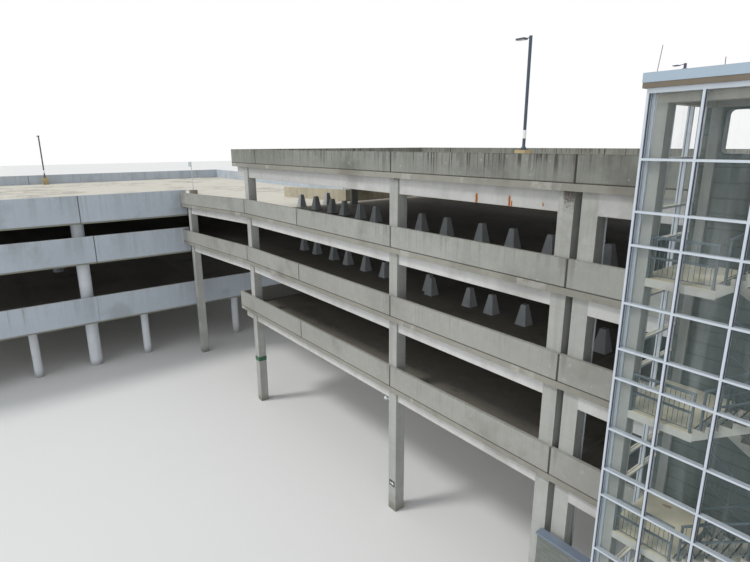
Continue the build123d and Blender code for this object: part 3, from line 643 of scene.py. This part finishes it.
def plain_concrete(name, pale, middle, dark, marks_share=0.3, foot_dirt=0.0, blotch=1.6):
    """Cast or painted concrete with faint run marks, and splashed dirt near the ground if asked."""
    made, tree, _, where = start_finish(name)
    colour, fine = weathered(tree, where, pale, middle, dark, blotch)
    colour = stained(tree, colour, dark, run_marks(tree, where, 22.0, 1.0), marks_share)
    if foot_dirt:
        colour = splashed(tree, where, colour, foot_dirt)
    return concrete(made, where, colour, fine)


def column_concrete(node, stain_places=()):
    """Square columns: form marks, damp run marks, and black stains under leaking joints."""
    made, tree, _, where = start_finish(node + "_concrete")
    colour, fine = weathered(tree, where, (176, 177, 173), (164, 165, 161), (136, 136, 130), 2.2)
    x, y, z = split(tree, where)
    colour = stained(tree, colour, (142, 140, 132), run_marks(tree, where, 40.0, 1.4), 0.4)
    colour = stained(tree, colour, (128, 126, 118), even_lines(tree, z, FORM_PITCH, 0.0015, 0.03), 0.25)
    if node == "columns_ground":
        colour = splashed(tree, where, colour, 0.05)
    for place, reach, foot, head in stain_places:
        near = ramp(tree, away(tree, x, place), reach * 0.5, reach, 1.0, 0.0)
        cover = times(tree, near, ramp(tree, z, foot, head, 0.0, 1.0, False))
        speck = noise(tree, where, (150, 150, 90), 8.0, 0.8)
        speck = sums(tree, "ADD", speck, sums(tree, "SUBTRACT", cover, 1.0))
        front = ramp(tree, y, FRONT_Y + 0.02, FRONT_Y + 0.04, 1.0, 0.0)
        shares = (ramp(tree, speck, -0.05, 0.3), front, faces_along(tree, 1), 0.85)
        colour = stained(tree, colour, (58, 50, 42), *shares)
    return concrete(made, where, colour, fine, 0.45)


def rusted(tree, where, colour):
    """Rust that bleeds down the roof beam's front, in short runs that wander a little."""
    x, y, z = split(tree, where)
    wander = sums(tree, "SUBTRACT", noise(tree, where, (1, 1, 34)), 0.5)
    outer = ramp(tree, y, FRONT_Y + 0.03, FRONT_Y + 0.05, 1.0, 0.0)
    for place, width, foot, head in ROOF_BEAM_RUST:
        aside = sums(tree, "ADD", sums(tree, "SUBTRACT", x, place), times(tree, wander, 2.2 * width))
        aside = sums(tree, "ABSOLUTE", aside)
        near = ramp(tree, aside, width * 0.75, width * 1.15, 1.0, 0.0)
        under = ramp(tree, z, head - 0.012, head, 1.0, 0.0)
        tall = times(tree, under, ramp(tree, z, foot - 0.002, foot + 0.002))
        core = ramp(tree, aside, width * 0.1, width * 0.9)
        tone = mixed(tree, core, (126, 64, 14), (172, 114, 52))
        colour = stained(tree, colour, tone, near, tall, outer, 0.95)
    return colour


def beam_concrete(node):
    """Painted beams: pale, with upright form lines and faint marks, and rust on the roof's."""
    on_roof = node == "beams_roof"
    made, tree, _, where = start_finish(node + "_concrete")
    colour, fine = weathered(tree, where, *(ROOF_BEAM_TONES if on_roof else BEAM_TONES))
    x, _, z = split(tree, where)
    colour = stained(tree, colour, (150, 148, 140), run_marks(tree, where, 12.0, 1.6), 0.22)
    uneven = ramp(tree, fine, 0.3, 0.7, 0.3, 1.0)
    lines = even_lines(tree, x, BEAM_FORM_PITCH, 0.0012)
    colour = stained(tree, colour, (128, 127, 120), lines, faces_along(tree, 1), uneven, 0.2)
    foot_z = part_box(node)[0].z
    colour = stained(tree, colour, (150, 146, 134), ramp(tree, z, foot_z, foot_z + 0.006, 0.4, 0.0))
    if on_roof:
        colour = rusted(tree, where, colour)
    return concrete(made, where, colour, fine, 0.35)


def band_concrete(node, joints):
    """Side wing bands: smooth grey concrete, its joints, and an olive strip at the sloping foot."""
    low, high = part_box(node)
    made, tree, _, where = start_finish(node + "_concrete")
    colour, fine = weathered(tree, where, (188, 197, 206), (180, 189, 198), (160, 166, 171), 1.0)
    _, y, z = split(tree, where)
    near_top = ramp(tree, z, low.z, high.z, 0.2, 1.0)
    colour = stained(tree, colour, (138, 142, 144), run_marks(tree, where, 13.0, 0.6), near_top, 0.32)
    drips = clouds(tree, where, (60, 60, 1.2), 0.6, 0.7, move=(4, 2, 1))
    colour = stained(tree, colour, (112, 110, 104), drips, near_top, 0.4)
    seam = near_places(tree, y, joints, 0.006)
    colour = stained(tree, colour, (74, 72, 68), seam, faces_along(tree, 0), 0.8)
    colour = stained(tree, colour, (118, 114, 86), ramp(tree, z, low.z + 0.013, low.z + 0.017, 0.75, 0.0))
    colour = stained(tree, colour, (206, 205, 198), ramp(tree, z, high.z - 0.005, high.z - 0.001, 0.0, 0.4))
    return concrete(made, where, colour, fine, 0.45)


def painted_metal(name, colour, worn, rough=0.45, worn_share=0.25, metal=0.0, dust_and_sunlight=None):
    """Paint on metal with faint wear and, if asked, a pale tone on what faces up: painted sunlight on the
    tops.
    """
    made, tree, shader, where = start_finish(name)
    cloud = noise(tree, where, 14.0, 7.0, 0.65)
    shade = stained(tree, colour, worn, ramp(tree, cloud, 0.45, 0.7), worn_share)
    if dust_and_sunlight:
        # Up-facing faces take the pale cream tone as painted sunlight.
        sunlit_tops = ramp(tree, facing(tree)[2], 0.5, 0.8)
        shade = stained(tree, shade, dust_and_sunlight, sunlit_tops, ramp(tree, cloud, 0.3, 0.6, 0.6, 1.0))
    tree.links.new(shade, shader.inputs["Base Color"])
    tree.links.new(ramp(tree, cloud, 0.3, 0.7, rough - 0.08, rough + 0.12), shader.inputs["Roughness"])
    shader.inputs["Metallic"].default_value = metal
    bumped(tree, shader, noise(tree, where, 220.0, 3.0), 0.15, 0.0004)
    return made


def clear_glass():
    """The tower's glazing: clear, faintly green, with dust and rain marks that catch the light."""
    made, tree, shader, where = start_finish("tower_glass_sheet")
    marks = run_marks(tree, where, 22.0, 1.4)
    tree.links.new(mixed(tree, marks, (138, 160, 162), (190, 200, 202)), shader.inputs["Base Color"])
    shader.inputs["Roughness"].default_value = 0.04
    shader.inputs["IOR"].default_value = 1.5
    dust_and_sunlight = times(tree, noise(tree, where, 5.0, 5.0), ramp(tree, marks, 0.0, 1.0, 0.7, 1.0))
    tree.links.new(ramp(tree, dust_and_sunlight, 0.2, 0.7, 0.03, 0.11), shader.inputs["Alpha"])
    return made


def masonry():
    """Painted concrete blocks, each a little different in tone, with a pitted face."""
    pale, dark = (122, 127, 122), (98, 102, 97)
    made, tree, _, where = start_finish("low_wall_masonry")
    snapped = tree.nodes.new("ShaderNodeVectorMath")
    snapped.operation = "SNAP"
    snapped.inputs[1].default_value = (BLOCK_LENGTH, 1.0, BLOCK_HEIGHT)
    tree.links.new(where, snapped.inputs[0])
    cell = tree.nodes.new("ShaderNodeTexWhiteNoise")
    tree.links.new(snapped.outputs[0], cell.inputs["Vector"])
    colour, fine = weathered(tree, where, pale, pale, dark, 2.5, 60.0)
    colour = stained(tree, colour, dark, cell.outputs["Value"], 0.3)
    return concrete(made, where, colour, fine, 0.7)


def landing_concrete():
    """The stair tower's landings: warm sunlit floors, grey edges, and rust where steel is let in."""
    made, tree, _, where = start_finish("tower_landings_concrete")
    grey, fine = weathered(tree, where, (186, 187, 180), (174, 175, 168), (140, 139, 130))
    warm, _ = weathered(tree, where, (230, 224, 200), (216, 209, 184), (172, 164, 140))
    colour = mixed(tree, ramp(tree, facing(tree)[2], 0.4, 0.6), grey, warm)
    colour = stained(tree, colour, (150, 104, 52), clouds(tree, where, 26.0, 0.69, 0.74, 3.0, 0.5), 0.7)
    return concrete(made, where, colour, fine, 0.4)


def ruled_wall():
    """The tower's back wall: concrete with level pour lines and dark damp stains."""
    made, tree, shader, where = start_finish("tower_back_wall_concrete")
    colour, fine = weathered(tree, where, (104, 112, 107), (92, 99, 94), (66, 71, 67))
    course = sums(tree, "FRACT", times(tree, split(tree, where)[2], POURS_A_METRE))
    groove = ramp(tree, away(tree, course, 0.5), 0.42, 0.48)
    colour = stained(tree, colour, (56, 60, 57), groove, 0.5)
    colour = stained(tree, colour, (60, 63, 58), run_marks(tree, where, 20.0, 0.8), 0.5)
    tree.links.new(colour, shader.inputs["Base Color"])
    bumped(tree, shader, sums(tree, "SUBTRACT", times(tree, fine, 0.3), groove), 0.6, 0.0015)
    shader.inputs["Roughness"].default_value = 0.9
    return made


def paint_frame():
    """Every carried over piece gets its finish."""
    made = {
        "tower_glass": clear_glass(),
        "tower_landings": landing_concrete(),
        "tower_back_wall": ruled_wall(),
        "low_wall": masonry(),
        "columns_ground": column_concrete("columns_ground"),
        "columns_upper": column_concrete("columns_upper", COLUMN_STAINS),
        "side_decks": slab_concrete("side_decks", True),
    }
    for node in DECKS:
        made[node] = slab_concrete(node, node in ("main_deck_3", "main_roof_deck"))
    for node, look in PARAPET_LOOKS.items():
        made[node] = parapet_concrete(node, *look)
    for node in ("beams_1", "beams_2", "beams_3", "beams_roof"):
        made[node] = beam_concrete(node)
    for node, joints in BAND_JOINTS.items():
        made[node] = band_concrete(node, joints)
    for node, look in PLAIN_CONCRETES.items():
        made[node] = plain_concrete(node + "_concrete", *look)
    for node, look in PAINTED_METALS.items():
        made[node] = painted_metal(*look)
    for node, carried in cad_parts.items():
        carried.data.materials.clear()
        carried.data.materials.append(made[node])
    return made


finishes = paint_frame()


# The added pieces
def low_wall_blocks():
    """Bevelled blocks in running bond round a mortar core."""
    low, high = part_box("low_wall")
    courses = int(round((high.z - low.z) / BLOCK_HEIGHT))
    rise = (high.z - low.z) / courses
    half = MORTAR / 2
    pairs = [((low.x + MORTAR, low.y + MORTAR, low.z), (high.x - MORTAR, high.y - MORTAR, high.z - MORTAR))]
    for course in range(courses):
        shift = BLOCK_LENGTH / 2 if course % 2 else 0.0
        inner = np.arange(low.x + BLOCK_LENGTH - shift, high.x - MORTAR, BLOCK_LENGTH)
        edges = np.concatenate([[low.x], inner[inner > low.x + MORTAR * 4], [high.x]])
        foot = low.z + course * rise
        for west, east in zip(edges[:-1], edges[1:]):
            pairs.append((
                (west + half * (west > low.x), low.y, foot + half * (course > 0)),
                (east - half * (east < high.x), high.y, foot + rise - half),
            ))
    piece("low_wall_blocks", boxes(pairs), finishes["low_wall"], ["low_wall"], bevel=BLOCK_WEAR)


def joint_sealant():
    """Dark strips in the open joints between neighbouring parapet panels."""
    pairs = []
    for node in PARAPET_HEIGHTS:
        panels = solid_boxes(node)
        front = [pair for pair in panels if pair[0][1] < FRONT_Y + NEAR]
        rear = [pair for pair in panels if pair[1][1] > REAR_Y - NEAR]
        for row in (front, rear):
            for (_, here), (after, top) in zip(row[:-1], row[1:]):
                if 0 < after[0] - here[0] < WIDEST_JOINT:
                    pairs.append((
                        (here[0], max(after[1], row[0][0][1]) + SEALANT_SET_BACK, after[2]),
                        (after[0], top[1] - SEALANT_SET_BACK, min(here[2], top[2]) - SEALANT_DROP),
                    ))
    dark = painted_metal("joint_sealant_rubber", (52, 50, 47), (72, 70, 64), 0.8)
    piece("parapet_joint_sealant", boxes(pairs), dark)


def barred_rail(name, node, spans, lift):
    """Upright bars between a thin lower rod and a round handrail, along straight lines from west to east.

    A span is a railing's lowest and highest corners, the heights of its line at its west and east ends, and
    how far its top stands over that line. The lower rod and the bars' feet are lifted off the line.
    """
    bars, lower, upper = ([], []), ([], []), ([], [])
    for low, high, west_z, east_z, reach in spans:
        middle = (low[1] + high[1]) / 2
        along = np.arange(low[0] + PICKET_GAP, high[0] - PICKET_GAP / 2, PICKET_GAP)
        line = west_z + (along - low[0]) / (high[0] - low[0]) * (east_z - west_z)
        level = np.full_like(along, middle)
        bars[0].append(np.stack([along, level, line + lift], 1))
        bars[1].append(np.stack([along, level, line + reach - RAIL_HALF], 1))
        for rod, rise in ((lower, lift), (upper, reach - HANDRAIL_SINK)):
            rod[0].append((low[0], middle, west_z + rise))
            rod[1].append((high[0], middle, east_z + rise))
    shape = together(
        rods(np.concatenate(bars[0]), np.concatenate(bars[1]), PICKET_RADIUS),
        rods(*lower, LOW_ROD_RADIUS, 8),
        rods(*upper, HANDRAIL_RADIUS, 12),
    )
    piece(name, shape, finishes[node])


def landing_pickets():
    """The bars and handrails of the landings' railings, whose lines are level."""
    spans = [(low, high, low[2], low[2], high[2] - low[2]) for low, high in solid_boxes("landing_railings")]
    barred_rail("landing_pickets", "landing_railings", spans, LANDING_ROD_LIFT)


def flight_pickets():
    """The bars and handrails beside the flights: the front ones rise to the east, and the rear ones fall."""
    spans = []
    for low, high in solid_boxes("stair_railings"):
        ends = [low[2], high[2] - RAIL_HEIGHT]
        if (low[1] + high[1]) / 2 > STAIR_MIDDLE_Y:
            ends.reverse()
        spans.append((low, high, *ends, RAIL_HEIGHT))
    barred_rail("flight_pickets", "stair_railings", spans, FLIGHT_ROD_LIFT)


def stair_nosings():
    """A dark strip let into the edge of every step."""
    pairs = []
    for low, high in solid_boxes("stair_steps"):
        rear = (low[1] + high[1]) / 2 > STAIR_MIDDLE_Y
        west = high[0] - NOSING_WIDTH if rear else low[0]
        pairs.append((
            (west, low[1] + NOSING_INSET, high[2] - NOSING_DEPTH),
            (west + NOSING_WIDTH, high[1] - NOSING_INSET, high[2] + NOSING_PROUD),
        ))
    strip = painted_metal("nosing_rubber", (58, 58, 56), (90, 88, 82), 0.7)
    piece("stair_nosings", boxes(pairs), strip)


def tower_gaskets():
    """Dark rubber beside every mullion of the front, between its cap and the glass, tinted violet-dark as
    painted shade beside each mullion.
    """
    low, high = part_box("tower_frame_front")
    inner = low.x + (high.x - low.x) * np.arange(1, TOWER_BAYS) / TOWER_BAYS
    back = low.y + CAP_DEPTH
    pairs = []
    for centre in (low.x + MULLION_HALF, *inner, high.x - MULLION_HALF):
        for side in (-1, 1):
            near = centre + side * MULLION_HALF
            west, east = sorted((near, near + side * GASKET_REACH))
            if west > low.x and east < high.x:
                pairs.append(((west, back - GASKET_THICK, low.z), (east, back, high.z)))
    # The violet-dark tone is partly the rubber's own colour and partly painted shade beside the mullion.
    rubber_and_shade = painted_metal("gasket_rubber_and_shade", (52, 50, 66), (70, 68, 80), 0.6)
    piece("tower_gaskets", boxes(pairs), rubber_and_shade)


def roof_fittings():
    """Two thin rods and a lamp on a bent arm, near the front edge of the tower's roof."""
    low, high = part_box("tower_fascia")
    edge_y = low.y + ROOF_EDGE_INSET
    feet = [(x, edge_y, high.z) for x, _, _ in ROOF_RODS]
    tops = [(x, edge_y, high.z + rise) for _, x, rise in ROOF_RODS]
    foot = np.array([ROOF_LAMP_X, edge_y, high.z])
    stem = (foot + (-0.0022, -0.0022, 0), foot + (0.0022, 0.0022, 0.0112))
    plate = (foot + (-0.005, -0.004, 0), foot + (0.005, 0.006, 0.0008))
    bend = np.array([(-0.002, 0, 0.009), (-0.006, 0, 0.0096), (-0.0105, 0, 0.0082)])
    under = [(-0.027, 0.0084), (-0.022, 0.0068), (-0.012, 0.0072)]
    over = [(-0.0095, 0.0084), (-0.014, 0.0094), (-0.024, 0.0092)]
    shape = together(
        rods(feet, tops, ROOF_ROD_RADIUS),
        boxes([stem, plate]),
        tube(foot + bend, (0, 1, 0), ROOF_ROD_RADIUS, 8),
        prism(np.array(under + over) + (foot[0], high.z), edge_y - ROOF_LAMP_HALF, edge_y + ROOF_LAMP_HALF),
    )
    metal = painted_metal("roof_fitting_paint", (70, 66, 96), (96, 92, 118), 0.5)
    piece("tower_roof_fittings", shape, metal)


def lamp_details():
    """A base plate, bolts and a collar at each pole's foot, a pale band on the pole, and a lens."""
    collar = [(0.0135, LAMP_PLATE_THICK), (0.0135, 0.012), (0.0102, 0.018)]
    sleeve = [(0.0089, 0.11), (0.0094, 0.111), (0.0094, 0.153), (0.0089, 0.154)]
    corners = np.array([(-1, -1), (-1, 1), (1, -1), (1, 1)])
    bases = []
    bands = []
    for low, high in solid_boxes("lamp_pedestals"):
        centre = np.array([(low[0] + high[0]) / 2, (low[1] + high[1]) / 2, high[2]])
        reach = np.array([LAMP_PLATE_HALF, LAMP_PLATE_HALF, 0])
        bases.append(boxes([(centre - reach, centre + reach + (0, 0, LAMP_PLATE_THICK))]))
        feet = np.concatenate([corners * BOLT_SPREAD, np.full((4, 1), LAMP_PLATE_THICK)], 1) + centre
        bases.append(rods(feet, feet + (0, 0, BOLT_HEIGHT), BOLT_RADIUS))
        bases.append(turned(collar, centre, ROUND_SIDES))
        bands.append(turned(sleeve, centre - (0, 0, BAND_DROP), ROUND_SIDES))
    piece("lamp_base_plates", together(*bases), finishes["lamp_poles"])
    white = painted_metal("lamp_band_paint", (232, 234, 236), (204, 206, 206), 0.5)
    piece("lamp_pole_bands", together(*bands), white)
    inset = np.array([*LENS_INSET, 0.0])
    lenses = [
        (low + inset - (0, 0, LENS_DEPTH), np.array([high[0], high[1], low[2]]) - inset)
        for low, high in solid_boxes("lamp_heads")
    ]
    pale = painted_metal("lamp_lens", (214, 216, 212), (196, 198, 190), 0.2)
    piece("lamp_lenses", boxes(lenses), pale)


def arrow_mark():
    """A plain arrow on the sign plate, standing a hair proud of it."""
    low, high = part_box("arrow_sign")
    shape = np.array([
        (0.12, 0.42), (0.55, 0.42), (0.55, 0.2), (0.9, 0.5), (0.55, 0.8), (0.55, 0.58), (0.12, 0.58),
    ])
    outline = shape * (high.x - low.x, high.z - low.z) + (low.x, low.z)
    white = painted_metal("arrow_paint", (226, 228, 226), (196, 198, 196), 0.5)
    piece("arrow_mark", prism(outline, low.y - ARROW_PROUD, low.y), white)


def door_frames():
    """Metal frames let into the tower's door openings, level with the wall's front face."""
    low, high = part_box("tower_back_wall")
    west, east = DOOR_X, DOOR_X + DOOR_WIDTH
    pairs = []
    for sill in DOOR_SILLS:
        top = sill + DOOR_HEIGHT
        pairs += [
            ((west, low.y, sill), (west + DOOR_BAR, high.y, top)),
            ((east - DOOR_BAR, low.y, sill), (east, high.y, top)),
            ((west + DOOR_BAR, low.y, top - DOOR_BAR), (east - DOOR_BAR, high.y, top)),
        ]
    grey = painted_metal("door_frame_paint", (104, 112, 112), (80, 86, 86), 0.45)
    piece("tower_door_frames", boxes(pairs), grey)


def rounded(span, corner, inset):
    """A rectangle in X and Z with quarter circles at its corners, drawn in by an inset."""
    west, east, foot, head = span
    reach = corner - inset
    turn = np.linspace(0, pi / 2, CORNER_STEPS)
    outline = []
    for x, z, start in (
        (east - corner, foot + corner, -pi / 2),
        (east - corner, head - corner, 0),
        (west + corner, head - corner, pi / 2),
        (west + corner, foot + corner, pi),
    ):
        outline.append(np.stack([x + reach * np.cos(turn + start), z + reach * np.sin(turn + start)], 1))
    return np.concatenate(outline)


def top_window_frame():
    """A thin frame round the tower's unglazed top window: a rounded outline carried back along Y."""
    low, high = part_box("tower_back_wall")
    front = low.y - TOP_WINDOW_PROUD
    outer = rounded(TOP_WINDOW, TOP_WINDOW_CORNER, 0.0)
    inner = rounded(TOP_WINDOW, TOP_WINDOW_CORNER, TOP_WINDOW_FRAME)
    rings = [(outer, front), (inner, front), (inner, high.y), (outer, high.y)]
    places = np.concatenate([np.insert(ring, 1, y, axis=1) for ring, y in rings])
    count = len(outer)
    here = np.arange(count)
    after = (here + 1) % count
    faces = []
    for near in range(0, len(places), count):
        far = (near + count) % len(places)
        faces += np.stack([here + near, after + near, after + far, here + far], 1).tolist()
    dark = painted_metal("window_frame_paint", (58, 62, 66), (86, 90, 92), 0.5)
    piece("top_window_frame", (places, faces), dark)


def column_pipes():
    """Thin rain pipes down the back corner of the columns beside the expansion joint, held by clips."""
    feet = []
    heads = []
    for low, high in solid_boxes("columns_upper") + solid_boxes("columns_ground"):
        if abs(low[0] - PIPE_COLUMN_WEST) < 2 * NEAR and low[1] < FRONT_Y + FRONT_ROW_DEPTH:
            x, y = high[0] + PIPE_GAP, high[1] - PIPE_SET_BACK
            feet.append((x, y, low[2] + PIPE_END_GAP))
            heads.append((x, y, high[2] - PIPE_END_GAP))
    clips = [
        ((x - CLIP_WEST, y - CLIP_HALF, height), (x + CLIP_EAST, y + CLIP_HALF, height + CLIP_HEIGHT))
        for (x, y, foot), head in zip(feet, heads)
        for height in np.arange(foot + CLIP_START, head[2], CLIP_PITCH)
    ]
    pale = painted_metal("pipe_paint", (170, 178, 182), (140, 148, 152), 0.4)
    piece("column_pipes", together(rods(feet, heads, PIPE_RADIUS, 12), boxes(clips)), pale)


def expansion_covers():
    """Metal cover strips over the joints in each deck."""
    pairs = []
    for node in DECKS:
        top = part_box(node)[1].z
        pairs.append((
            (JOINT_X - COVER_HALF, FRONT_Y + COVER_INSET, top),
            (JOINT_X + COVER_HALF, REAR_Y - COVER_INSET, top + COVER_THICK),
        ))
    steel = painted_metal("joint_cover_steel", (108, 106, 100), (132, 128, 118), 0.5, 0.4)
    piece("deck_joint_covers", boxes(pairs), steel)


def camera_lens():
    """A dark dome under the camera's round shell: part of a half circle turned round its upright axis."""
    low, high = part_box("ceiling_camera")
    radius = (high.z - low.z) / 2
    centre = (low.x + radius, (low.y + high.y) / 2, (low.z + high.z) / 2)
    angle = np.linspace(*DOME_SPAN, 9)
    profile = np.stack([np.cos(angle) * radius * DOME_WIDTH, np.sin(angle) * radius], 1)
    dark = painted_metal("camera_dome_glass", (24, 26, 30), (40, 42, 46), 0.12)
    piece("camera_dome", turned(profile, centre, ROUND_SIDES), dark, smooth=True)


low_wall_blocks()
joint_sealant()
landing_pickets()
flight_pickets()
stair_nosings()
tower_gaskets()
roof_fittings()
lamp_details()
arrow_mark()
door_frames()
top_window_frame()
column_pipes()
expansion_covers()
camera_lens()


# Floor, light and camera
def stage_floor():
    """A plain pale floor, wide enough for every view."""
    mesh = bpy.data.meshes.new("floor")
    corners = [(x * FLOOR_REACH, y * FLOOR_REACH, -0.001) for x, y in ((-1, -1), (1, -1), (1, 1), (-1, 1))]
    mesh.from_pydata(corners, [], [(0, 1, 2, 3)])
    made = bpy.data.objects.new("floor", mesh)
    bpy.context.scene.collection.objects.link(made)
    finish, tree, shader, where = start_finish("floor_paint")
    tone = mixed(tree, clouds(tree, where, 0.4, 0.3, 0.7), *FLOOR_TONES)
    tree.links.new(tone, shader.inputs["Base Color"])
    shader.inputs["Roughness"].default_value = 0.95
    shader.inputs["Specular IOR Level"].default_value = 0.1
    mesh.materials.append(finish)


def shine(name, strength, spread, colour, place):
    """A light from far off in one direction, as wide in degrees as it is asked to be."""
    lamp = bpy.data.lights.new(name, "SUN")
    lamp.energy = strength
    lamp.angle = radians(spread)
    lamp.color = colour
    made = bpy.data.objects.new(name, lamp)
    bpy.context.scene.collection.objects.link(made)
    made.rotation_euler = Vector(place).to_track_quat("Z", "Y").to_euler()


def light_up():
    """A pale sky that the camera sees as white, a soft sun from the front, and a low wide fill."""
    world = bpy.data.worlds.new("studio")
    bpy.context.scene.world = world
    world.use_nodes = True
    tree = world.node_tree
    sky = tree.nodes["Background"]
    white = tree.nodes.new("ShaderNodeBackground")
    for ground, colour, strength in ((sky, SKY_COLOUR, SKY_STRENGTH), (white, (1, 1, 1, 1), 1.0)):
        ground.inputs["Color"].default_value = colour
        ground.inputs["Strength"].default_value = strength
    path = tree.nodes.new("ShaderNodeLightPath")
    direct = sums(tree, "MAXIMUM", path.outputs["Is Camera Ray"], path.outputs["Is Glossy Ray"])
    direct = sums(tree, "MAXIMUM", direct, path.outputs["Is Transmission Ray"])
    both = tree.nodes.new("ShaderNodeMixShader")
    for socket, source in zip(both.inputs, (direct, sky.outputs[0], white.outputs[0])):
        tree.links.new(source, socket)
    tree.links.new(both.outputs[0], tree.nodes["World Output"].inputs["Surface"])
    shine("sun", SUN_STRENGTH, SUN_SPREAD, SUN_COLOUR, SUN_FROM)
    shine("fill", FILL_STRENGTH, FILL_SPREAD, FILL_COLOUR, FILL_FROM)


def set_camera():
    """The photo's own viewpoint: turned left of +Y, dipped, and rolled a hair."""
    lens = bpy.data.cameras.new("photo_view")
    lens.sensor_width = SENSOR_WIDTH
    lens.lens = FOCAL_PIXELS / PHOTO_WIDTH * SENSOR_WIDTH
    lens.clip_start = 0.01
    lens.clip_end = 200
    made = bpy.data.objects.new("photo_view", lens)
    bpy.context.scene.collection.objects.link(made)
    turn = (
        Matrix.Rotation(CAMERA_TURN, 4, "Z")
        @ Matrix.Rotation(pi / 2 - CAMERA_DIP, 4, "X")
        @ Matrix.Rotation(CAMERA_ROLL, 4, "Z")
    )
    made.matrix_world = Matrix.Translation(CAMERA_PLACE) @ turn
    bpy.context.scene.camera = made


stage_floor()
light_up()
set_camera()
bpy.context.scene.view_settings.view_transform = "Standard"
